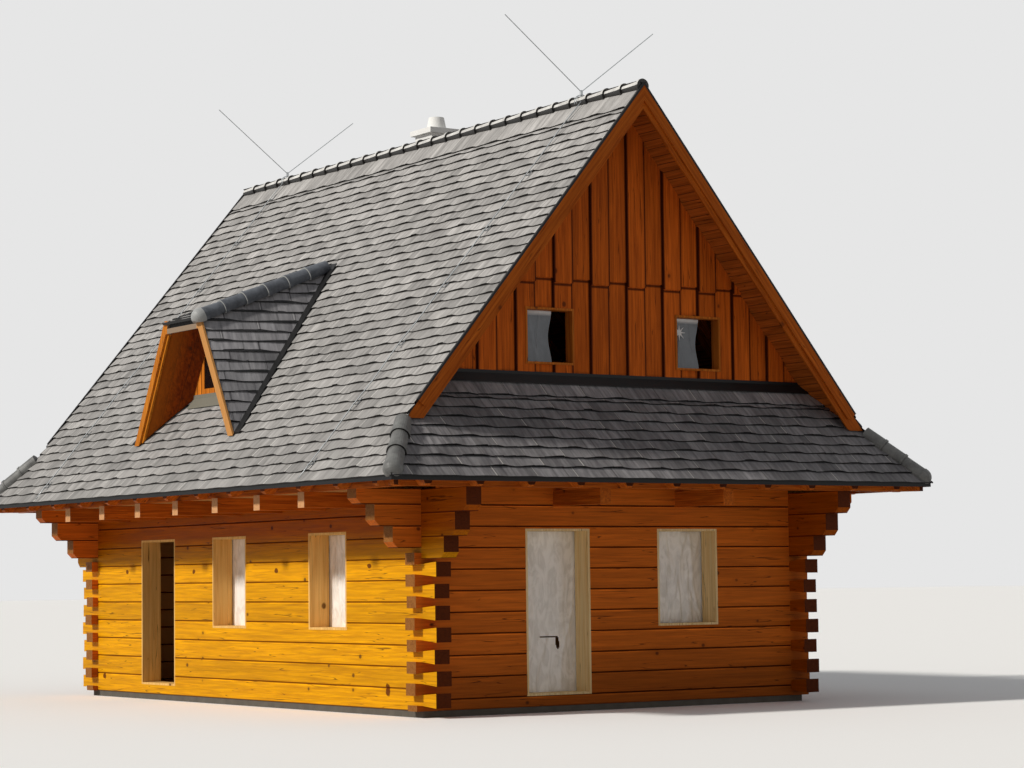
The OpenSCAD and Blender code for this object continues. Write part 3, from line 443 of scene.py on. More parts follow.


# The beams look red brown and dull, painted shade like the gable logs, each in a tone of its own. The
# rafters' ends look darker, the pent rafters' ends darkest as painted shade, and the joists' ends pale.
rafter_stain = end_grain(beam("sawn_spruce_rafter", up_main, level_x, -5.85, 0.9, fold=True),
                         level_y, 0.0, "#7a3c18", "#4c210b", fold=True)
dress("front_rafters", rafter_stain)
dress("back_rafters", rafter_stain)
# The pent rafters' ends are painted nearly black, as the shade at the rafters' feet.
dress("skirt_rafters", end_grain(beam("sawn_spruce_pent_rafter", up_skirt, level_y, -3.96, 0.72, fold=True),
                                 level_x, 0.0, "#5a2a10", "#361505", fold=True))
dress("ceiling_joists", end_grain(beam("sawn_spruce_joist", level_y, level_x, -5.0, 1.13),
                                  level_y, 0.0, "#e2b184", "#b98250"))
dress("outrigger_beams", beam("sawn_spruce_outrigger", level_x, level_y, 0.0, 1.9))
dress("long_eave_plates", beam("sawn_spruce_long_plate", level_x, level_y, 0.0, 3.0))
dress("gable_eave_plates", beam("sawn_spruce_gable_plate", level_y, level_x, 0.0, 3.0))

# The floor boards look pale and clean, with thin dark joints.
floor_boards = wood("planed_spruce_floor_boards", "#c9a269", "#9a7342", (level_x, level_y, plumb),
                    boards_along(level_y, -3.5, 0.14), tone=0.1, joint="#4a3218")
dress("ground_floor", floor_boards)
dress("attic_floor", floor_boards)


# Linings of the doors and windows
# Planed and unstained boards frame each opening through the logs, so they look pale beside the stain.
# They stand on edge, butted at the corners.
# The linings look cream coloured and matt, and those of the front wall yellower and a little darker.
lining_boards = wood("planed_raw_spruce_upright", "#f6deac", "#e2bf84", (plumb, level_x, level_y),
                     streak_mm=(833, 29.4), knot_mm=385, roughness=0.58)
depth_in = add(lining_boards, "SeparateXYZ", (place_in(lining_boards),)).outputs["Y"]
in_front = add(lining_boards, "Math", (depth_in, -2.0), operation="LESS_THAN")
tinted = add(lining_boards, "VectorMath", (painted(lining_boards), (0.93, 0.76, 0.48)), operation="MULTIPLY")
feed(lining_boards, base_color=add(lining_boards, "Mix", (in_front, painted(lining_boards), tinted)))
dress("door_linings", lining_boards)
dress("window_linings", lining_boards)


# Film over the doors and windows
# Builders' polythene sheet is stapled to the inner edges of the linings until the joinery comes. It is
# thin, milky and slack, so it hangs in folds that catch the light and is pulled straight at its edges.
film_in = 0.292
film_slack = 0.010
film_edge = 0.005
film_cell = (0.012, 0.016)
window_foot = 1.03
door_foot = 0.21
head = 2.26
window_wide = 0.965
door_wide = 0.97
door_middle = -0.965
torn_at = (0.66, 0.63)
torn_half = (0.030, 0.085)
torn_lean = 0.12
slit_up = 0.07
slit_half = 0.009
slit_long = 0.27
haze_mm = 222
crinkle_mm = (136, 136, 311)


def merged(points, faces, values=()):
    """Points that lie within a hundredth of a millimetre become one, and triangles that have lost a
    corner by it are left out. The values are one per triangle and are kept with their triangles."""
    _, first, place = np.unique(np.round(points * 1e5).astype(np.int64), axis=0, return_index=True,
                                return_inverse=True)
    faces = place.reshape(-1)[faces]
    whole = (faces[:, 0] != faces[:, 1]) & (faces[:, 1] != faces[:, 2]) & (faces[:, 2] != faces[:, 0])
    return points[first], faces[whole], first, [value[whole] for value in values]


def joined(parts):
    """Points and triangles of several meshes as those of one, each numbered on from the one before."""
    starts = np.cumsum([0] + [len(part[0]) for part in parts[:-1]])
    return (np.concatenate([part[0] for part in parts]),
            np.concatenate([part[1] + start for part, start in zip(parts, starts)]))


def halved(quads):
    """Each quad a, b, c, d as the triangles a, b, c and a, c, d."""
    return np.concatenate([quads[:, [0, 1, 2]], quads[:, [0, 2, 3]]])


def put_in(name, points, faces, made, slot, smooth=False):
    """A mesh object of triangles with its material, riding on the house."""
    mesh = bpy.data.meshes.new(name)
    mesh.vertices.add(len(points))
    mesh.vertices.foreach_set("co", np.asarray(points, dtype=np.float32).ravel())
    mesh.loops.add(3 * len(faces))
    mesh.loops.foreach_set("vertex_index", np.asarray(faces, dtype=np.int32).ravel())
    mesh.polygons.add(len(faces))
    mesh.polygons.foreach_set("loop_start", np.arange(0, 3 * len(faces), 3, dtype=np.int32))
    mesh.polygons.foreach_set("loop_total", np.full(len(faces), 3, dtype=np.int32))
    mesh.polygons.foreach_set("use_smooth", np.full(len(faces), smooth))
    mesh.update(calc_edges=True)
    mesh.materials.append(made)
    piece = bpy.data.objects.new(name, mesh)
    bpy.context.scene.collection.objects.link(piece)
    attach(piece, "root")
    return piece


def folds(across, up, width, height, seed, creases):
    """Depth of the folds in a hung sheet, from 0 to 1. Each crease is a narrow ridge about a line that
    leans and wanders a little, and all fade to nothing at the fastened edges."""
    draw = np.random.default_rng(seed)
    depth = np.zeros_like(across)
    for _ in range(creases):
        middle = draw.uniform(0.05, 0.95) * width
        lean = draw.normal(0.0, 0.18)
        wander = 0.03 * np.sin(draw.uniform(2.0, 6.0) * up + draw.uniform(0.0, 6.3))
        top = draw.uniform(0.35, 1.1) * height
        away = across - middle - lean * (up - height / 2) - wander
        thick = draw.uniform(0.012, 0.035)
        size = draw.uniform(-1.0, 1.0)
        depth += size * np.exp(-(away / thick) ** 2) / (1 + np.exp((up - top) / 0.12))
    depth += 0.5 * np.sin(across * 9.0 + 2.0 * np.sin(up * 2.6 + seed)) * np.cos(up * 3.4 + across * 4.0)
    fade = np.minimum(np.minimum(across, width - across), np.minimum(up, height - up)) / 0.05
    return np.tanh(depth) * np.clip(fade, 0.0, 1.0)


def film_sheet(name, middle, outward, left, width, foot, top, made, slot, node_name, held_by, seed, creases,
               slack=film_slack, tear=None, bow=0.0):
    """A sheet of film as a grid across and up the opening, moved in and out by its folds. The left
    direction is seen from outside, and the sheet hangs behind its plane by up to twice the slack. A tear
    is a narrow oval without film, with a slit to its left, and a bow is how far in the free edge curves."""
    height = top - foot
    columns, rows = int(width / film_cell[0]), int(height / film_cell[1])
    across, up = np.meshgrid(np.linspace(0, width, columns), np.linspace(0, height, rows))
    depth = slack * folds(across, up, width, height, seed, creases)
    sideways = across - width / 2 - bow * across / width * np.sin(math.pi * up / height) ** 2
    points = (np.array(middle) - np.array(left) * sideways[..., None]
              + np.array(outward) * (depth - slack)[..., None])
    points[..., 2] = foot + up
    corner = (np.arange(rows - 1)[:, None] * columns + np.arange(columns - 1)).ravel()
    quads = np.stack([corner, corner + 1, corner + columns + 1, corner + columns], axis=1)
    if tear:
        off = across.ravel()[quads].mean(axis=1) - tear[0]
        rise = up.ravel()[quads].mean(axis=1) - tear[1]
        oval = ((off + torn_lean * rise) / torn_half[0]) ** 2 + (rise / torn_half[1]) ** 2 < 1
        slit = (np.abs(rise - slit_up) < slit_half) & (off < 0.0) & (off > -slit_long)
        quads = quads[~(oval | slit)]
    piece = put_in(name, points.reshape(-1, 3), halved(quads), made, slot, smooth=True)
    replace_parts(piece, node_name)


# The film looks milky and a little glossy. It is paler where its haze is thicker, and along the crests
# of its crinkles as a painted highlight.
polythene = material("builders_polythene_film", roughness=0.26, specular_ior_level=0.5, coat_weight=0.25,
                     coat_roughness=0.2)
place = place_in(polythene)
haze = add(polythene, "TexNoise", {"Vector": place, "Scale": 1000 / haze_mm, "Detail": 3.0})
upright = add(polythene, "VectorMath", (place, [1000 / mm for mm in crinkle_mm]), operation="MULTIPLY")
crinkle = add(polythene, "TexNoise", {"Vector": upright, "Scale": 1.0, "Detail": 3.5, "Distortion": 1.8})
# Painted highlight on the crinkles' crests, added to the haze's own paler patches.
mixed = add(polythene, "Math", (haze, add(polythene, "MapRange", (crinkle, 0.4, 0.6))), operation="ADD")
ramp = add(polythene, "MapRange", (mixed, 0.3, 1.5))
feed(polythene, base_color=add(polythene, "Mix", (ramp, "#e6e3dd", "#fffdf9")),
     normal=add(polythene, "Bump", {"Height": crinkle, "Strength": 0.7, "Distance": 0.01}))

# The outward and the left direction of each wall, and how far out its films hang.
sides = {"front": ((0, -1, 0), (-1, 0, 0), house_half_w - film_in),
         "back": ((0, 1, 0), (1, 0, 0), house_half_w - film_in),
         "right": ((1, 0, 0), (0, -1, 0), house_half_l - film_in),
         "left": ((-1, 0, 0), (0, 1, 0), house_half_l - film_in)}
sheets = (("front", -0.285), ("front", 2.375), ("back", -0.285), ("back", 2.375), ("back", -2.435),
          ("right", door_middle), ("right", 1.06), ("left", 1.06), ("left", -1.06))
for seed, (side, centre) in enumerate(sheets):
    outward, left, plane = sides[side]
    middle = np.array(outward) * plane + np.abs(left) * centre
    is_door = centre == door_middle
    is_loose = side == "right" and not is_door
    wide, foot = (door_wide, door_foot) if is_door else (window_wide, window_foot)
    film_sheet(f"film_{side}_{seed}", middle, outward, left, wide - 2 * film_edge, foot + film_edge,
               head - film_edge, polythene, "film", "wall_films", ["window_linings", "door_linings"], seed,
               creases=26 if is_loose else 14, slack=2 * film_slack if is_loose else film_slack,
               tear=torn_at if is_door else None)


# Decks
# Sawn boards are nailed across the rafters and carry the tiles. Their undersides show between the
# rafters' feet and beyond the gables, stained red brown, with a dark joint at each board.
# The decks look red brown and dull from below, with a dark line at each joint.
for name, level, upward, decks in (("sawn_spruce_deck", level_x, up_main, ("front_deck", "back_deck")),
                                   ("sawn_spruce_pent_deck", level_y, up_skirt, ("skirt_decks",))):
    deck_boards = wood(name, "#c2682a", "#944c1a", (level, upward, tuple(np.cross(level, upward).tolist())),
                       boards_along(upward, 0.0, 0.12), line=0.05, tone=0.12, fold=True, joint="#3a2010")
    for deck in decks:
        dress(deck, deck_boards)


# Tiles
# Moulded tiles of grey recycled plastic imitate split wooden shakes. Each panel carries four shakes, and
# its lower edge is wavy. The panels lie in courses with their joints staggered, nailed through the deck.
eave_x = 5.926
eave_y = 4.16
eave_z = 2.845
verge_x = 5.26
slope_l = 6.5126
skirt_l = 1.8546
hip_k = math.tan(skirt_pitch) / math.tan(pitch)
layer = 0.036
step = 0.024
panel = 0.58
shake_edges = (0.0, 0.26, 0.49, 0.78, 1.0)
joint_wide = 0.010
edge_back = 0.012
overlap = 0.05
wave_half = 0.011
wave_jitter = 0.004
lip_least = 0.0015
lip_wave = 0.003
lip_jitter = 0.002
tile_show = 0.162
skirt_show = 0.171
under_verge = (layer + 0.05) / math.sin(pitch)
shake_streak_mm = (58.8, 455)
weather_mm = 769


def tile_columns(row_count, reach, draw, wide=panel):
    """Where the columns of each row stand along the course, how far the lower edge there lies up the
    slope and below the surface, and a tone for each. A shake takes four columns, the first just past the
    joint. The edge is a cosine that falls quickly and rises slowly over a panel, with a jitter per shake,
    and it is all but straight at the eave. A panel's own left end has a seam of more than one."""
    panels = int(2 * reach / wide) + 2
    starts, ends = np.array(shake_edges[:-1]), np.array(shake_edges[1:])
    first = starts + joint_wide / wide
    shake = first[:, None] + (ends - first)[:, None] * np.array([0.0, 0.34, 0.67, 1.0])
    fall = np.where(shake < 0.26, 0.5 * shake / 0.26, 0.5 + 0.5 * (shake - 0.26) / 0.74)
    wave = np.cos(2 * math.pi * fall)
    where = -reach + wide * (np.arange(panels)[:, None, None] + shake[None])
    stagger = wide * (0.5 * (np.arange(row_count) % 2) + 0.04 * draw.standard_normal(row_count))
    where = where[None] + stagger[:, None, None, None]
    shape = (row_count, panels, 4, 1)
    up = wave_half * (1 + wave)[None, None] + wave_jitter * draw.standard_normal(shape)
    up = up * np.where(np.arange(row_count) == 0, 0.1, 1.0)[:, None, None, None]
    below = lip_least + lip_wave * (1 - wave)[None, None] + lip_jitter * draw.random(shape)
    tone = 0.5 * draw.random(shape) + 0.5 * draw.random((row_count, panels, 1, 1))
    joints = np.array([[1.6, 0.0, 0.0, 1.0]] + 3 * [[1.0, 0.0, 0.0, 1.0]])
    seam = joints * (0.66 + 0.34 * draw.random(shape))
    return [np.broadcast_to(values, where.shape).reshape(row_count, -1)
            for values in (where, up, below, tone, seam)]


def course_rings(lower, upper, columns, low_end, high_end):
    """Rows of tiles as rings: recessed foot, lower lip, upper lip, surface at the next course, underside.
    A ring's points are (along, up the slope, out of it), and each is held between the two ends of the
    row at its own height. The rings of a row are joined to a closed bar, with a cap at either end."""
    where, up, below, tone, seam = columns
    front = np.maximum(lower[:, None] + up, lower[:, None])
    back = np.broadcast_to((upper + overlap)[:, None], front.shape)
    slant = -step * (1 + overlap / (upper - lower))[:, None]
    heights = [np.full_like(front, -step - 0.008), -step * 0.55 - below, -below,
               np.broadcast_to(slant, front.shape), np.full_like(front, -layer)]
    ups = [front + edge_back, front, front + 0.004, back, back]
    ring = np.stack([np.stack([where, u, h], axis=-1) for u, h in zip(ups, heights)], axis=2)
    ring[..., 0] = np.clip(ring[..., 0], low_end(ring[..., 1]), high_end(ring[..., 1]))
    number = np.arange(ring[..., 0].size).reshape(ring.shape[:3])
    here, there = number[:, :-1], number[:, 1:]
    after = np.roll(number, -1, axis=2)
    quads = np.stack([here, there, after[:, 1:], after[:, :-1]], axis=-1)
    low, high = number[:, 0], number[:, -1]
    ends = np.concatenate([np.stack([low[:, 0], low[:, i], low[:, i + 1]], axis=-1) for i in (1, 2, 3)]
                          + [np.stack([high[:, 0], high[:, i + 1], high[:, i]], axis=-1) for i in (1, 2, 3)])
    face_tone = np.broadcast_to(tone[:, :-1, None], quads.shape[:3]).reshape(-1)
    # Painted shade: the foot, the lower lip's face, the underside and the ends are marked for the dark edge
    # colour, and the back slant partly.
    dark = np.broadcast_to(np.array([1.0, 1.0, 0.0, 0.6, 1.0]), quads.shape[:3]).reshape(-1)
    faces = np.concatenate([halved(quads.reshape(-1, 4)), ends])
    tones = np.concatenate([face_tone, face_tone, np.zeros(len(ends))])
    darks = np.concatenate([dark, dark, np.ones(len(ends))])
    return ring.reshape(-1, 3), faces, tones, darks, np.repeat(seam.reshape(-1), 5)


def mark(piece, label, domain, values):
    """Give each face or point of a piece a value that its material reads."""
    piece.data.attributes.new(label, "FLOAT", domain).data.foreach_set("value", values.astype(np.float32))


def shake_roof(name, spans, axes, origin, made, *stood_for):
    """One piece of tiles from spans of courses, set on the plane with the given origin and axes."""
    rings = [course_rings(*span) for span in spans]
    flat, faces = joined(rings)
    tones, darks, seams = [np.concatenate([ring[place] for ring in rings]) for place in (2, 3, 4)]
    kept, faces, first, (tone, dark) = merged(flat, faces, (tones, darks))
    piece = put_in(name, np.array(origin) + kept @ np.array(axes), faces, made, "tile")
    mark(piece, "tone", "FACE", tone)
    mark(piece, "edge", "FACE", dark)
    mark(piece, "seam", "POINT", seams[first])
    mark(piece, "lap", "POINT", np.tile((0.0, 0.0, 0.0, 1.0, 1.0), len(flat) // 5)[first])
    chart = piece.data.uv_layers.new(name="slope").data
    chart.foreach_set("uv", kept[faces.ravel()][:, :2].astype(np.float32).ravel())
    if stood_for:
        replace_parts(piece, *stood_for)


def tile_plastic(name, sunlit, shaded, edge_shade_paint, seam_paint, pale_end_paint, wide_tone,
                 paler_up=(0.0, 6.0, 0.84, 1.04)):
    """Moulded plastic with the colour of old shakes. Broad and fine streaks run down each shake, the fine
    ones mixing a sunlit and a shaded colour, partly grain and partly painted light and shade of the relief.
    Each shake has its own tone and its joints are dark. Its lower edge and the strip just below the next
    course are painted shade. The slope turns paler from one place up it to another, and a panel's left end is
    paler."""
    made = material(name, roughness=0.66, specular_ior_level=0.25)
    chart = add(made, "UVMap", uv_map="slope")
    per_metre = (1000 / shake_streak_mm[0], 1000 / shake_streak_mm[1], 1.0)
    drawn = add(made, "VectorMath", (chart, per_metre), operation="MULTIPLY")
    streak = add(made, "TexNoise", {"Vector": drawn, "Scale": 1.0, "Detail": 4.0, "Roughness": 0.65})
    broad = add(made, "TexNoise", {"Vector": chart, "Scale": 1000 / weather_mm, "Detail": 3.0})
    tone, edge, seam, lap = [add(made, "Attribute", attribute_name=label).outputs["Fac"]
                             for label in ("tone", "edge", "seam", "lap")]
    # The streaks mix a sunlit and a shaded colour: partly the shakes' grain, partly painted light and shade.
    paint = add(made, "Mix", (add(made, "MapRange", (streak, 0.3, 0.7)), shaded, sunlit))
    own = add(made, "MapRange", (tone, 0.0, 1.0, 1 - wide_tone, 1 + wide_tone))
    over_all = add(made, "MapRange", (broad, 0.3, 0.7, 0.93, 1.07))
    by_height = add(made, "MapRange", (add(made, "SeparateXYZ", (chart,)).outputs["Y"], *paler_up))
    drier = add(made, "Math", (by_height, over_all), operation="MULTIPLY")
    level = add(made, "Math", (own, drier), operation="MULTIPLY")
    toned = add(made, "VectorMath", (paint, level), operation="SCALE")
    inner = add(made, "Math", (seam, 1.0), operation="MINIMUM")
    thin = add(made, "Math", (inner, 9.0), operation="POWER")
    seamed = add(made, "Mix", (thin, toned, seam_paint))
    paler_end = add(made, "MapRange", (seam, 1.05, 1.35, 0.0, 0.9))
    joined_up = add(made, "Mix", (paler_end, seamed, pale_end_paint))
    # Painted shade: the strip just below the next course and the faces marked as edges take the edge colour.
    under = add(made, "MapRange", (lap, 0.78, 0.88, 0.0, 0.9))
    darkest = add(made, "Math", (edge, under), operation="MAXIMUM")
    grain = add(made, "Math", (thin, -0.6, streak), operation="MULTIPLY_ADD")
    feed(made, base_color=add(made, "Mix", (darkest, joined_up, edge_shade_paint)),
         normal=add(made, "Bump", {"Height": grain, "Strength": 0.5, "Distance": 0.005}))
    return made


def rows_of(show, run, top):
    """Lower and upper ends of the courses up a slope: full ones, a short one that is left, the top one."""
    full = int((run - top) / show)
    lines = np.append(show * np.arange(full + 1), [run - top, run])
    return lines[:-1], lines[1:]


def main_end(up):
    """Half length of a main slope: to the hips, and above them to the verges."""
    return np.maximum(verge_x, eave_x - up * math.cos(pitch) / hip_k)


def skirt_end(up):
    """Half length of a pent roof: to the hips, and past the verges to the deck of the main slopes."""
    inward = up * math.cos(skirt_pitch)
    return eave_y - inward * hip_k - np.where(inward > eave_x - verge_x, under_verge, 0.0)


def spans_of(rows, seed, end, reach, hole=None):
    """Spans of whole courses between -end and end, split beside a hole on the courses that it crosses.
    A hole is its first and last distance up the slope, and its left and right ends there."""
    lower, upper = rows
    columns = tile_columns(len(lower), reach, np.random.default_rng(seed))
    spans = []
    crossed = np.zeros(len(lower), dtype=bool)
    if hole:
        foot, top, left_end, right_end = hole
        crossed = (lower >= foot) & (upper <= top)
        picked = [column[crossed] for column in columns]
        spans = [(lower[crossed], upper[crossed], picked, lambda up: -end(up), left_end),
                 (lower[crossed], upper[crossed], picked, right_end, end)]
    whole = [column[~crossed] for column in columns]
    return spans + [(lower[~crossed], upper[~crossed], whole, lambda up: -end(up), end)]


dormer_x = -0.467
dormer_hole_up = (1.816, 3.735)
dormer_hole_half = (0.80, 0.42)


def dormer_hole(side):
    """End of the tiles beside the opening under the dormer, which narrows from its foot to its top."""
    return lambda up: dormer_x + side * np.interp(up, dormer_hole_up, dormer_hole_half)


chimney_x = -0.73
chimney_y = 0.715
chimney_w = 0.45
chimney_foot_up = (eave_y - chimney_y - chimney_w / 2) / math.cos(pitch)
chimney_top_up = (eave_y - chimney_y + chimney_w / 2) / math.cos(pitch)


def chimney_side(side):
    """End of the tiles beside the chimney, on the back slope, whose level axis runs the other way."""
    return lambda up: np.full_like(up, -chimney_x + side * chimney_w / 2)


def slope_axes(outward, tilt):
    """Level, upward and outward directions of a slope whose eave lies on the outward side of the house."""
    out = np.array(outward, dtype=float)
    level = np.cross(plumb, out)
    return np.array([level, math.sin(tilt) * np.array(plumb) - math.cos(tilt) * out,
                     math.cos(tilt) * np.array(plumb) + math.sin(tilt) * out])


# The main slopes look like dry grey shakes, paler up the slope, and the pent roofs like darker ones.
tile_main = tile_plastic("moulded_shake_tiles", "#b6b4b2", "#82807e", "#1b1918", "#767472", "#dddbd7", 0.3)
# The pent roofs' top rows are painted paler, as painted light where the sun grazes them.
tile_skirt = tile_plastic("moulded_shake_tiles_pent", "#8f8d8e", "#59575a", "#0b0a0b", "#4e4c4d", "#c4c2be",
                          0.4, paler_up=(1.15, 1.6, 0.98, 1.3))
main_rows = rows_of(tile_show, slope_l, 0.44)
skirt_rows = rows_of(skirt_show, skirt_l, 0.415)
front_axes = slope_axes((0, -1, 0), pitch)
under_dormer = (*dormer_hole_up, dormer_hole(-1), dormer_hole(1))
round_chimney = (chimney_foot_up - tile_show, chimney_top_up + 0.02, chimney_side(-1), chimney_side(1))
shake_roof("front_shakes", spans_of(main_rows, 11, main_end, 6.4, under_dormer), front_axes,
           (0, -eave_y, eave_z), tile_main, "front_tiles")
shake_roof("back_shakes", spans_of(main_rows, 12, main_end, 6.4, round_chimney),
           slope_axes((0, 1, 0), pitch), (0, eave_y, eave_z), tile_main, "back_tiles")
for side, sign, seed in (("right", 1, 13), ("left", -1, 14)):
    shake_roof(f"{side}_pent_shakes", spans_of(skirt_rows, seed, skirt_end, 4.5),
               slope_axes((sign, 0, 0), skirt_pitch), (sign * eave_x, 0, eave_z), tile_skirt, "skirt_tiles")


# Edge strips and flashings
# Folded steel strips with a black baked coat cover the deck's edges, the verges, the foot of the gables
# and the valleys beside the dormer. They are nailed down and lap the tiles.
strip_foot = 2.785
strip_top = 2.834
strip_thick = 0.006
edge_x = 5.896
edge_y = 4.134
corner_gap = 0.0004
verge_out = verge_x + 0.032
verge_ends = (((3.401, 3.762), (3.381, 3.745)), ((corner_gap, 7.859), (corner_gap, 7.816)))
dust_mm = 333
buckle_mm = 625
apron_half = 0.72
apron_front = -3.0


def prism(near, far):
    """Points and triangles of a solid with four corners at either end. All triangles are turned over where
    the volume that they enclose comes out below zero, so they face outwards."""
    points = np.array(list(near) + list(far))
    faces = halved(np.array([[0, 1, 2, 3], [7, 6, 5, 4], [0, 4, 5, 1], [1, 5, 6, 2], [2, 6, 7, 3],
                             [3, 7, 4, 0]]))
    corners = points[faces]
    volume = np.sum(corners[:, 0] * np.cross(corners[:, 1], corners[:, 2]))
    return points, faces if volume > 0 else faces[:, ::-1]


def coated_steel(name):
    """Steel sheet that looks black and half glossy, greyer and duller under dust, and buckled a little."""
    made = material(name, specular_ior_level=0.2)
    place = place_in(made)
    dust = add(made, "TexNoise", {"Vector": place, "Scale": 1000 / dust_mm, "Detail": 5.0, "Roughness": 0.7})
    buckle = add(made, "TexNoise", {"Vector": place, "Scale": 1000 / buckle_mm, "Detail": 1.0})
    feed(made, base_color=add(made, "Mix", (dust, "#0a0a0b", "#1f1f20")),
         roughness=add(made, "MapRange", (dust, 0.0, 1.0, 0.4, 0.65)),
         normal=add(made, "Bump", {"Height": buckle, "Strength": 0.4, "Distance": 0.02}))
    return made


black_coat = coated_steel("black_coated_steel_sheet")
dress("skirt_flashings", black_coat)
strips = []
for side in (1, -1):
    for along_x in (True, False):
        out, half = (edge_y, edge_x) if along_x else (edge_x, edge_y)
        inner = out - strip_thick
        outline = [(out, strip_foot, 0.0), (out, strip_top, 0.0), (inner, strip_top, strip_thick),
                   (inner, strip_foot, strip_thick)]
        ends = []
        for end in (1, -1):
            reach = [(side * away, end * (half - corner_gap - less), rise) for away, rise, less in outline]
            ends.append([(long, away, rise) if along_x else (away, long, rise) for away, long, rise in reach])
        strips.append(prism(*ends))
    for slope in (1, -1):
        ends = []
        for upper, lower in verge_ends:
            rim = ((verge_x, upper), (verge_out, upper), (verge_out, lower), (verge_x, lower))
            ends.append([(side * x, slope * y, z) for x, (y, z) in rim])
        strips.append(prism(*ends))
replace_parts(put_in("slim_edge_strips", *joined(strips), black_coat, "flashing"), "eave_edges")

# The dormer's strips are black too, but dull grey where the apron lies below the window.
valley_coat = coated_steel("black_coated_steel_with_grey_apron")
split = add(valley_coat, "SeparateXYZ", (place_in(valley_coat),))
off = add(valley_coat, "Math", (split.outputs["X"], dormer_x), operation="SUBTRACT")
between = add(valley_coat, "Math", (add(valley_coat, "Math", (off,), operation="ABSOLUTE"), apron_half),
              operation="LESS_THAN")
low_down = add(valley_coat, "Math", (split.outputs["Y"], apron_front), operation="LESS_THAN")
on_apron = add(valley_coat, "Math", (between, low_down), operation="MULTIPLY")
feed(valley_coat, base_color=add(valley_coat, "Mix", (on_apron, painted(valley_coat), "#77756a")))
dress("dormer_valleys", valley_coat)


# Ridge and hip caps
# Half round caps of the same plastic as the tiles lie end over end along the ridge, the hips and the
# right edge of the dormer. Each has a raised collar whose lip carries a line colour, a painted shadow on
# the ridge and hips, and the lowest is domed.
cap_show = 0.375
collar_wide = 0.035
collar_out = 0.008
cap_taper = 0.012
cap_turn = 2.2
ridge_cap_r = 0.084
ridge_cap_z = 7.812
hip_cap_r = 0.112
hip_foot = 0.155
cap_mottle_mm = 143


def cap_row(name, start, end, radius, depth, made, stood_for, domed=True, taper=cap_taper, low_from=math.pi,
            dome_line=0.0):
    """A row of caps from start to end. The outline is a circle with its lower part left flat, its radius
    grows to a collar at each lower end and shrinks evenly to the next, and a dome is a quarter circle.
    The lip of each collar and the low sides past an angle are marked for the line colour, which is a
    painted shadow where it is dark."""
    start, end = np.array(start, dtype=float), np.array(end, dtype=float)
    run = np.linalg.norm(end - start)
    ahead = (end - start) / run
    aside = np.cross(ahead, plumb)
    aside /= np.linalg.norm(aside)
    above = np.cross(aside, ahead)
    count = max(round(run / cap_show), 1)
    each = run / count
    inner = np.array([0.0, 0.0005, collar_wide, collar_wide + 0.002, each - 0.001])
    widths = np.array([-taper - 0.004, collar_out, collar_out, 0.0, -taper])
    where = (np.arange(count)[:, None] * each + inner).ravel()
    size = np.broadcast_to(radius + widths, (count, 5)).ravel()
    # The lip in front of each collar and the step behind it take the line colour, a painted shadow when dark.
    dark = np.tile((1.0, 0.0, 0.4, 0.0, 1.0), count)
    if domed:
        quarter = np.linspace(0.02, 1.0, 7) * math.pi / 2
        where = np.concatenate([-(radius + collar_out) * np.cos(quarter), where[2:]])
        size = np.concatenate([(radius + collar_out) * np.sin(quarter), size[2:]])
        dark = np.concatenate([np.full(len(quarter), dome_line), dark[2:]])
    around = np.linspace(-cap_turn, cap_turn, 19)
    across = np.sin(around)[None, :] * size[:, None]
    rise = np.cos(around)[None, :] * size[:, None] - depth
    points = start + where[:, None, None] * ahead + across[..., None] * aside + rise[..., None] * above
    rows, columns = across.shape
    number = np.arange(rows * columns).reshape(rows, columns)
    after = np.roll(number, -1, axis=1)
    quads = np.stack([number[:-1], after[:-1], after[1:], number[1:]], axis=-1).reshape(-1, 4)
    fan = np.arange(columns - 2)[:, None] * (0, 1, 1) + (0, 1, 2)
    faces = np.concatenate([halved(quads), fan[:, ::-1], fan + (rows - 1) * columns])
    low = np.abs(around + (around[1] - around[0]) / 2) > low_from
    face_dark = np.maximum(dark[:-1, None], low[None, :]).ravel()
    values = np.concatenate([face_dark, face_dark, np.ones(2 * (columns - 2))])
    points, faces, _, (values,) = merged(points.reshape(-1, 3), faces, (values,))
    piece = put_in(name, points, faces, made, "cap")
    mark(piece, "edge", "FACE", values)
    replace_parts(piece, stood_for)


def cap_plastic(name, pale, deep, line_paint):
    """Moulded plastic in the tiles' grey, mottled, with a line colour where one cap laps the next; a dark
    one is a painted shadow.
    """
    made = material(name, roughness=0.5, specular_ior_level=0.4)
    place = place_in(made)
    mottle = add(made, "TexNoise", {"Vector": place, "Scale": 1000 / cap_mottle_mm, "Detail": 5.0,
                                    "Roughness": 0.65})
    paint = add(made, "Mix", (add(made, "MapRange", (mottle, 0.35, 0.65)), deep, pale))
    edge = add(made, "Attribute", attribute_name="edge").outputs["Fac"]
    feed(made, base_color=add(made, "Mix", (edge, paint, line_paint)),
         normal=add(made, "Bump", {"Height": mottle, "Strength": 0.3, "Distance": 0.004}))
    return made


# The caps are one plastic painted in three brightnesses: the ridge nearly white, as painted light, the
# hips grey and the dormer's row bluish and dark, as painted shade on its shaded side.
cap_pale = cap_plastic("moulded_cap_plastic_ridge", "#dededb", "#bcbbb9", "#242322")
cap_grey = cap_plastic("moulded_cap_plastic", "#737472", "#535352", "#121111")
cap_dark = cap_plastic("moulded_cap_plastic_shaded_side", "#60656d", "#40444b", "#a7a9a8")
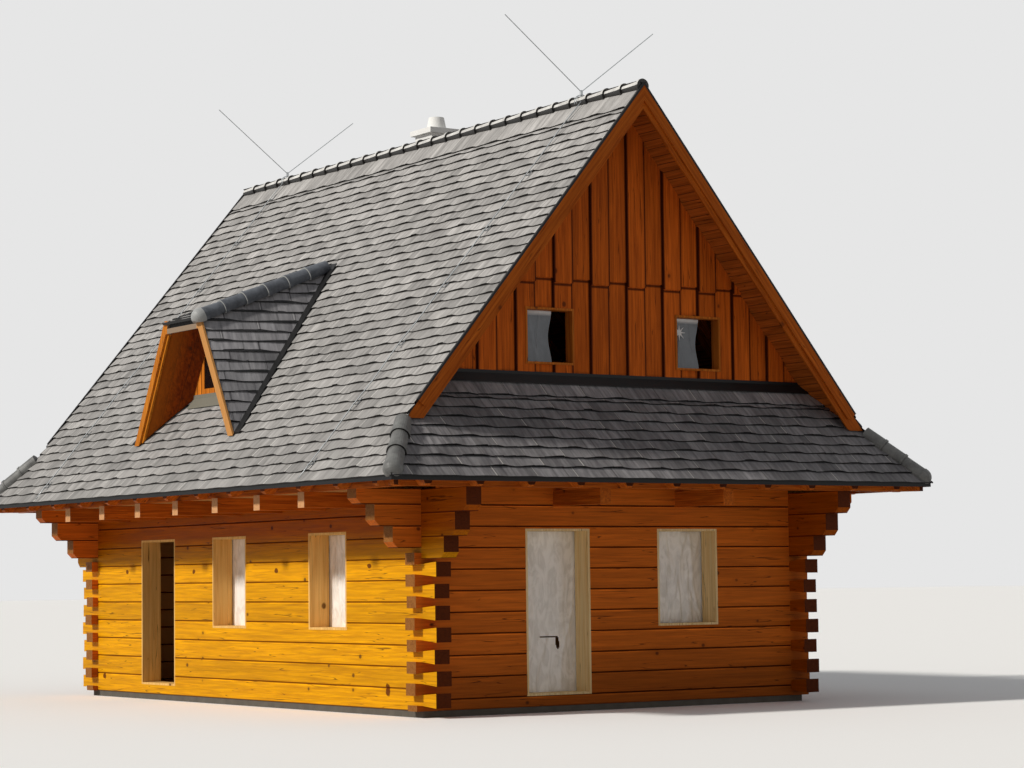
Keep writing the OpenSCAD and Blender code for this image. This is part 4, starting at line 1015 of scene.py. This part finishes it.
# The ridge's low sides take the dark line colour, as a painted shadow along the tiles.
cap_row("ridge_cap_row", (verge_x, 0, ridge_cap_z), (-verge_x, 0, ridge_cap_z), ridge_cap_r, 0.0, cap_pale,
        "ridge_caps", domed=False, taper=0.02, low_from=1.58)
hip_y = eave_y - (eave_x - verge_x) * hip_k
hip_z = eave_z + (eave_x - verge_x) * math.tan(skirt_pitch)
for side_x, end_name in ((1, "right"), (-1, "left")):
    for side_y, slope_name in ((1, "back"), (-1, "front")):
        foot = np.array((side_x * eave_x, side_y * eave_y, eave_z))
        top = np.array((side_x * verge_x, side_y * hip_y, hip_z))
        foot = foot + (top - foot) * hip_foot / np.linalg.norm(top - foot)
        cap_row(f"hip_cap_row_{end_name}_{slope_name}", foot, top, hip_cap_r, hip_cap_r / 3, cap_grey,
                "hip_caps")


# Gables
# Wide spruce boards are nailed upright in two tiers, every second board over its neighbours, and stained
# a deeper red brown than the logs. The joints read as dark grooves.
cover_pitch = 0.285
tier_z = 5.38
tier_lap = 0.06

# The boards look red brown, with dark grooves and a line of shade below the upper tier.
cover_number = boards_along(level_y, cover_pitch / 2, cover_pitch)
gable_boards = wood("red_brown_stained_gable_boards", "#d6691f", "#a84e15", (plumb, level_y, level_x),
                    cover_number, line=0.1, tone=0.13, roughness=0.55, knot_mm=333, joint="#471b08")
place = place_in(gable_boards)
number = cover_number(gable_boards, place)
half_number = add(gable_boards, "Math", (number, 0.5, 0.5), operation="MULTIPLY_ADD")
pair = add(gable_boards, "Math", (half_number,), operation="FRACT")
raised = add(gable_boards, "Math", (pair, 0.5), operation="GREATER_THAN")
foot = add(gable_boards, "Math", (raised, -tier_lap, tier_z), operation="MULTIPLY_ADD")
height = add(gable_boards, "SeparateXYZ", (place,)).outputs["Z"]
drop = add(gable_boards, "Math", (foot, height), operation="SUBTRACT")
below = add(gable_boards, "Math", (drop, -0.002), operation="GREATER_THAN")
near = add(gable_boards, "MapRange", (drop, 0.034, 0.02, 0.0, 0.85))
shaded = add(gable_boards, "Math", (below, near), operation="MULTIPLY")
feed(gable_boards, base_color=add(gable_boards, "Mix", (shaded, painted(gable_boards), "#3a1506")))
dress("gable_walls", gable_boards)
# The linings of the attic windows look a little more yellow than the boards.
dress("attic_linings", wood("stained_attic_linings", "#c9742a", "#97501a", (plumb, level_y, level_x),
                            streak_mm=(833, 29.4), knot_mm=385))


# Film in the attic windows
# The same polythene hangs in the attic windows, but it has come loose, so a third of each opening is
# open to the dark attic. Seen from below it mirrors the sky, and a cut paper star is stuck to one sheet.
attic_wide = 0.735
attic_high = 0.71
attic_foot = 4.30
attic_plane = 4.524
attic_middles = (-1.065, 1.265)
film_share = 0.68
attic_haze_mm = 200
attic_crinkle_mm = 45
star_middle = (attic_plane + 0.012, 1.065, 4.80)
star_arms = 8
star_long = 0.105
star_short = 0.03
star_thick = 0.001

# This film is painted dark, as shade for the unlit attic behind it, and looks glossy; it is pale where
# its upper edge is folded over.
attic_film = material("loose_polythene_film", roughness=0.22, specular_ior_level=0.6, coat_weight=0.5,
                      coat_roughness=0.12)
place = place_in(attic_film)
height = add(attic_film, "SeparateXYZ", (place,)).outputs["Z"]
fold_pale = add(attic_film, "MapRange", (height, attic_foot + 0.62, attic_foot + 0.66))
haze = add(attic_film, "TexNoise", {"Vector": place, "Scale": 1000 / attic_haze_mm, "Detail": 4.0,
                                    "Distortion": 0.8})
# Painted shade: the milky film made dark grey for the unlit attic behind it, clouded by the haze.
attic_shade_paint = add(attic_film, "Mix", (haze, "#2f343b", "#5a6068"))
crinkle = add(attic_film, "TexNoise", {"Vector": place, "Scale": 1000 / attic_crinkle_mm, "Detail": 4.0,
                                       "Distortion": 1.0})
feed(attic_film, base_color=add(attic_film, "Mix", (fold_pale, attic_shade_paint, "#d9dcdf")),
     normal=add(attic_film, "Bump", {"Height": crinkle, "Strength": 0.5, "Distance": 0.006}))
for side, sign in (("right", 1), ("left", -1)):
    for number, (letter, centre) in enumerate(zip("ab", attic_middles)):
        middle = (sign * attic_plane, sign * (centre - (1 - film_share) * attic_wide / 2), 0.0)
        film_sheet(f"attic_film_{side}_{letter}", middle, *sides[side][:2], film_share * attic_wide,
                   attic_foot + film_edge, attic_foot + attic_high - film_edge, attic_film, "attic_film",
                   "attic_films", ["attic_linings"], 128 + sign + number, creases=5, bow=0.055)

# The paper looks white and matt.
rim = np.arange(2 * star_arms)
following = np.roll(rim, -1)
star_turn = rim * math.pi / star_arms
star_reach = np.where(rim % 2 == 0, star_long, star_short)
star_rim = np.stack([0 * star_reach, star_reach * np.sin(star_turn), star_reach * np.cos(star_turn)], axis=1)
star_front = [star_thick, 0, 0]
star_points = np.concatenate([star_rim, star_rim + star_front, [[0, 0, 0], star_front]]) + star_middle
back_middle = np.full_like(rim, 4 * star_arms)
star_faces = np.concatenate([
    np.stack([rim, following, back_middle], axis=1),
    np.stack([following + 2 * star_arms, rim + 2 * star_arms, back_middle + 1], axis=1),
    halved(np.stack([following, rim, rim + 2 * star_arms, following + 2 * star_arms], axis=1))])
put_in("paper_star", star_points, star_faces,
       material("white_paper", base_color=colour("#e4e7e8"), roughness=0.8), "attic_film")


# Bargeboards
# Two layers of planed boards close each verge under its black strip. They have the brightest orange
# stain on the house, and their grain follows the slope.
# They look orange and smooth, with long streaks down the slope.
dress("bargeboards", wood("orange_stained_bargeboards", "#b7601d", "#8f420e",
                          (up_main, tuple(np.cross(up_main, level_x).tolist()), level_x),
                          streak_mm=(833, 27.8), knot_mm=417, fold=True, roughness=0.48))


# Dormer
# The dormer's frame is of the orange boards, lined with darker boards back to its small window, and its
# roof is felted in black and hung with wider shakes, with caps on the right edge only.
dormer_pitch = math.radians(21.5)
dormer_front = -3.54
dormer_z = round(eave_z + (eave_y + dormer_front) * math.tan(pitch), 3)
dormer_foot_half = 1.44
dormer_top_half = 0.52
dormer_h = 1.635
header_foot = 5.04
header_half = 0.44
felt_gap = 0.007
side_high = 2.772
side_corner = 1.865
side_lean = 0.199
side_back = 1.769
side_axes = ((0.2164, 0.9763, 0.0), (-0.470, 0.1042, 0.8765), (0.8557, -0.1897, 0.4814))
dormer_panel = 0.98
top_run = 2.167
top_lip = 0.07
cap_run = 2.107
grit_mm = 4.17
smear_mm = 111

# The front boards look orange, paler on the right side, and grey brown on the header.
front_boards = wood("orange_stained_dormer_boards", "#cc7f24", "#a35a14", (plumb, level_x, level_y),
                    streak_mm=(833, 27.8), knot_mm=417)
split = add(front_boards, "SeparateXYZ", (place_in(front_boards),))
off = add(front_boards, "Math", (split.outputs["X"], dormer_x), operation="SUBTRACT")
sideways = add(front_boards, "Math", (off,), operation="ABSOLUTE")
between = add(front_boards, "Math", (sideways, header_half), operation="LESS_THAN")
high_up = add(front_boards, "Math", (split.outputs["Z"], header_foot), operation="GREATER_THAN")
on_header = add(front_boards, "Math", (between, high_up), operation="MULTIPLY")
on_right = add(front_boards, "Math", (off, 0.0), operation="GREATER_THAN")
faded = add(front_boards, "Math", (on_right, 0.5), operation="MULTIPLY")
tinted = add(front_boards, "Mix", (faded, painted(front_boards), "#c9a06a"))
feed(front_boards, base_color=add(front_boards, "Mix", (on_header, tinted, "#8f7c69")))
dress("dormer_front_boards", front_boards)

# The lining looks red brown and deep, painted dark inside the recess as shade, and turns orange towards
# the opening as painted daylight.
brown_lining = wood("brown_stained_dormer_lining", "#8f3c05", "#5c2104", (plumb, level_y, level_x),
                    boards_along(level_y, 0.0, 0.16), line=0.02)
depth_in = add(brown_lining, "SeparateXYZ", (place_in(brown_lining),)).outputs["Y"]
# Painted light: orange towards the opening, where daylight comes in, and dark shade further in.
daylight_share = add(brown_lining, "MapRange", (depth_in, -3.25, -3.53, 0.0, 0.6))
feed(brown_lining, base_color=add(brown_lining, "Mix", (daylight_share, painted(brown_lining), "#c96f1c")))
dress("dormer_lining", brown_lining)
dress("dormer_wall", wood("orange_stained_dormer_wall", "#d9822a", "#ad5e1a", (plumb, level_x, level_y),
                          boards_along(level_x, 0.0, 0.125), line=0.08, tone=0.1, joint="#1d0c04"))

# The felt looks black and matt with a coarse grit, drawn a few times as coarse as the real one to show.
felt = material("black_roofing_felt", roughness=0.9)
grit = add(felt, "TexNoise", {"Vector": place_in(felt), "Scale": 1000 / grit_mm,
                              "Detail": 2.0})
feed(felt, base_color=add(felt, "Mix", (grit, "#121314", "#2b2c2e")))
dress("dormer_roof", felt)

# The glass is painted black, as shade for the dark room behind it, and mirrors the sky, a little blurred
# where it is smeared.
glass = material("dark_window_glass", base_color=colour("#0b0d10"), specular_ior_level=0.6)
smear = add(glass, "TexNoise", {"Vector": place_in(glass), "Scale": 1000 / smear_mm,
                                "Detail": 4.0})
feed(glass, roughness=add(glass, "MapRange", (smear, 0.0, 1.0, 0.03, 0.16)))
dress("dormer_window", glass)


def dormer_front_edge(up):
    """Front end of a course on the dormer's side: along the raking board, then back along the hip."""
    return np.interp(up, (0.0, side_corner, side_high), (0.0, -side_lean, side_back))


def dormer_back_edge(up):
    """Back end of a course on the dormer's side, where it meets the main slope."""
    return np.maximum(side_back * up / side_high, dormer_front_edge(up))


def short_rows(run):
    """Lower and upper ends of the dormer's courses, where the last one is as short as is left."""
    lower = np.arange(0.0, run - 0.05, tile_show)
    return lower, np.minimum(lower + tile_show, run)


# The dormer's sides look bluish grey with strong dark laps, and its top like the main slopes.
blue_shakes = tile_plastic("moulded_shake_tiles_dormer_side", "#9f9ea1", "#747377", "#09090a", "#403f42",
                           "#a9a8aa", 0.36)
side_rows = short_rows(side_high)
right_ends = (dormer_front_edge, dormer_back_edge)
left_ends = (lambda up: -dormer_back_edge(up), lambda up: -dormer_front_edge(up))
for side, sign, ends in (("right", 1, right_ends), ("left", -1, left_ends)):
    columns = tile_columns(len(side_rows[0]), 2.4, np.random.default_rng(21 + sign), dormer_panel)
    axes = np.array(side_axes) * ((1, sign, 1), (sign, 1, 1), (sign, 1, 1))
    foot = np.array((dormer_x + sign * dormer_foot_half, dormer_front, dormer_z)) + felt_gap * axes[2]
    shake_roof(f"dormer_{side}_shakes", [(*side_rows, columns, *ends)], axes, foot, blue_shakes)
top_rows = short_rows(top_run + top_lip)
top_axes = slope_axes((0, -1, 0), dormer_pitch)
top_foot = (dormer_x, dormer_front, dormer_z + dormer_h) - top_lip * top_axes[1] + felt_gap * top_axes[2]
columns = tile_columns(len(top_rows[0]), 1.2, np.random.default_rng(24))
top_ends = (lambda up: np.full_like(up, -dormer_top_half), lambda up: np.full_like(up, dormer_top_half))
shake_roof("dormer_top_shakes", [(*top_rows, columns, *top_ends)], top_axes, top_foot, tile_main)
cap_from = np.array((dormer_x + dormer_top_half, dormer_front - 0.02, dormer_z + dormer_h - 0.03))
cap_row("dormer_cap_row", cap_from, cap_from + cap_run * top_axes[1], hip_cap_r, 0.0, cap_dark,
        "dormer_caps", dome_line=0.8)


# Chimney
# The stack is rendered and whitewashed, its slab is cast concrete painted white, and the pot on it is
# of pale fired clay. It looks bright, matt and clouded by rain, with the marks of the trowel.
stain_mm = 312
trowel_mm = 18.2
white_render = material("whitewashed_render", roughness=0.88)
place = place_in(white_render)
stain = add(white_render, "TexNoise", {"Vector": place, "Scale": 1000 / stain_mm, "Detail": 6.0,
                                       "Roughness": 0.65})
trowel = add(white_render, "TexNoise", {"Vector": place, "Scale": 1000 / trowel_mm, "Detail": 3.0})
feed(white_render, base_color=add(white_render, "Mix", (stain, "#dcdcda", "#fafaf8")),
     normal=add(white_render, "Bump", {"Height": trowel, "Strength": 0.4, "Distance": 0.004}))
dress("chimney_stack", white_render)
dress("chimney_cap", white_render)


# Lightning rods
# Pairs of galvanised rods lean over both slopes from a socket, and a clamp holds each socket's stem on
# the ridge caps. A wire on bent clips runs down the front slope from each. The zinc is dull and grey.
rod_x = 3.925
stem_top = 7.94
stem_r = 0.012
clamp_out = 0.013
clamp_turn = 1.9
clamp_half = 0.02
clamp_wire_r = 0.005
wire_r = 0.007
wire_lift = 0.026
wire_ends = ((rod_x + 0.1, 3.80), (-rod_x, -3.95))
clip_r = 0.008
clip_pitch = 0.97
clip_bend = ((0, 0.13, -0.012), (0, 0.02, -0.006), (0, 0, 0.012), (0, -0.01, 0.034), (0.02, -0.03, 0.040))
spangle_mm = 11.1
# The zinc looks grey and half dull, with crystals about a centimetre wide.
zinc = material("galvanised_steel", metallic=0.85, roughness=0.5)
spangle = add(zinc, "TexVoronoi", {"Vector": place_in(zinc), "Scale": 1000 / spangle_mm})
feed(zinc, base_color=add(zinc, "Mix", (spangle.outputs["Color"], "#94989b", "#b8bcbe")))
dress("lightning_rods", zinc)


def bar(path, radius, sides=8):
    """Points and triangles of a closed round bar along a path. A ring of points stands square to the mean
    direction at each point of the path, with a quad between rings and a fan over either end."""
    path = np.array(path, dtype=float)
    ahead = np.gradient(path, axis=0)
    ahead /= np.linalg.norm(ahead, axis=1)[:, None]
    aside = np.cross(ahead, (0.31, 0.42, 0.85))
    aside /= np.linalg.norm(aside, axis=1)[:, None]
    above = np.cross(aside, ahead)
    turn = np.arange(sides)[None, :, None] * 2 * math.pi / sides
    points = path[:, None] + radius * (np.cos(turn) * aside[:, None] + np.sin(turn) * above[:, None])
    number = np.arange(len(path) * sides).reshape(len(path), sides)
    after = np.roll(number, -1, axis=1)
    quads = np.stack([number[:-1], number[1:], after[1:], after[:-1]], axis=-1).reshape(-1, 4)
    fan = np.arange(sides - 2)[:, None] * (0, 1, 1) + (0, 1, 2)
    return points.reshape(-1, 3), np.concatenate([halved(quads), fan, fan[:, ::-1] + number[-1, 0]])


def bars(name, paths, radius):
    """One piece of zinc from several bars of one radius."""
    put_in(name, *joined([bar(path, radius) for path in paths]), zinc, "rod", smooth=True)


turn = np.linspace(-clamp_turn, clamp_turn, 21)
clamp_r = ridge_cap_r + clamp_out
arc = np.stack([0 * turn, clamp_r * np.sin(turn), ridge_cap_z + clamp_r * np.cos(turn)], axis=1)
bars("rod_clamps", [arc + [x + shift, 0, 0] for x in (rod_x, -rod_x) for shift in (-clamp_half, clamp_half)],
     clamp_wire_r)
bars("rod_stems", [[(x, 0, ridge_cap_z), (x, 0, stem_top)] for x in (rod_x, -rod_x)], stem_r)
wires, clips = [], []
eave = np.array((0, -eave_y, eave_z))
for top_x, foot_x in wire_ends:
    ups = np.linspace(slope_l - 0.06, 0.02, 41)
    straight = top_x + (foot_x - top_x) * (slope_l - ups) / slope_l
    sideways, lift = straight + 0.006 * np.sin(ups * 5.1), wire_lift + 0.004 * np.sin(ups * 6.5)
    wires.append(eave + np.stack([sideways, ups, lift], axis=1) @ front_axes)
    for up in np.arange(0.25, slope_l - 0.3, clip_pitch):
        held_at = (top_x + (foot_x - top_x) * (slope_l - up) / slope_l, up, 0)
        clips.append(eave + (np.array(clip_bend) + held_at) @ front_axes)
bars("roof_wires", wires, wire_r)
bars("wire_clips", clips, clip_r)
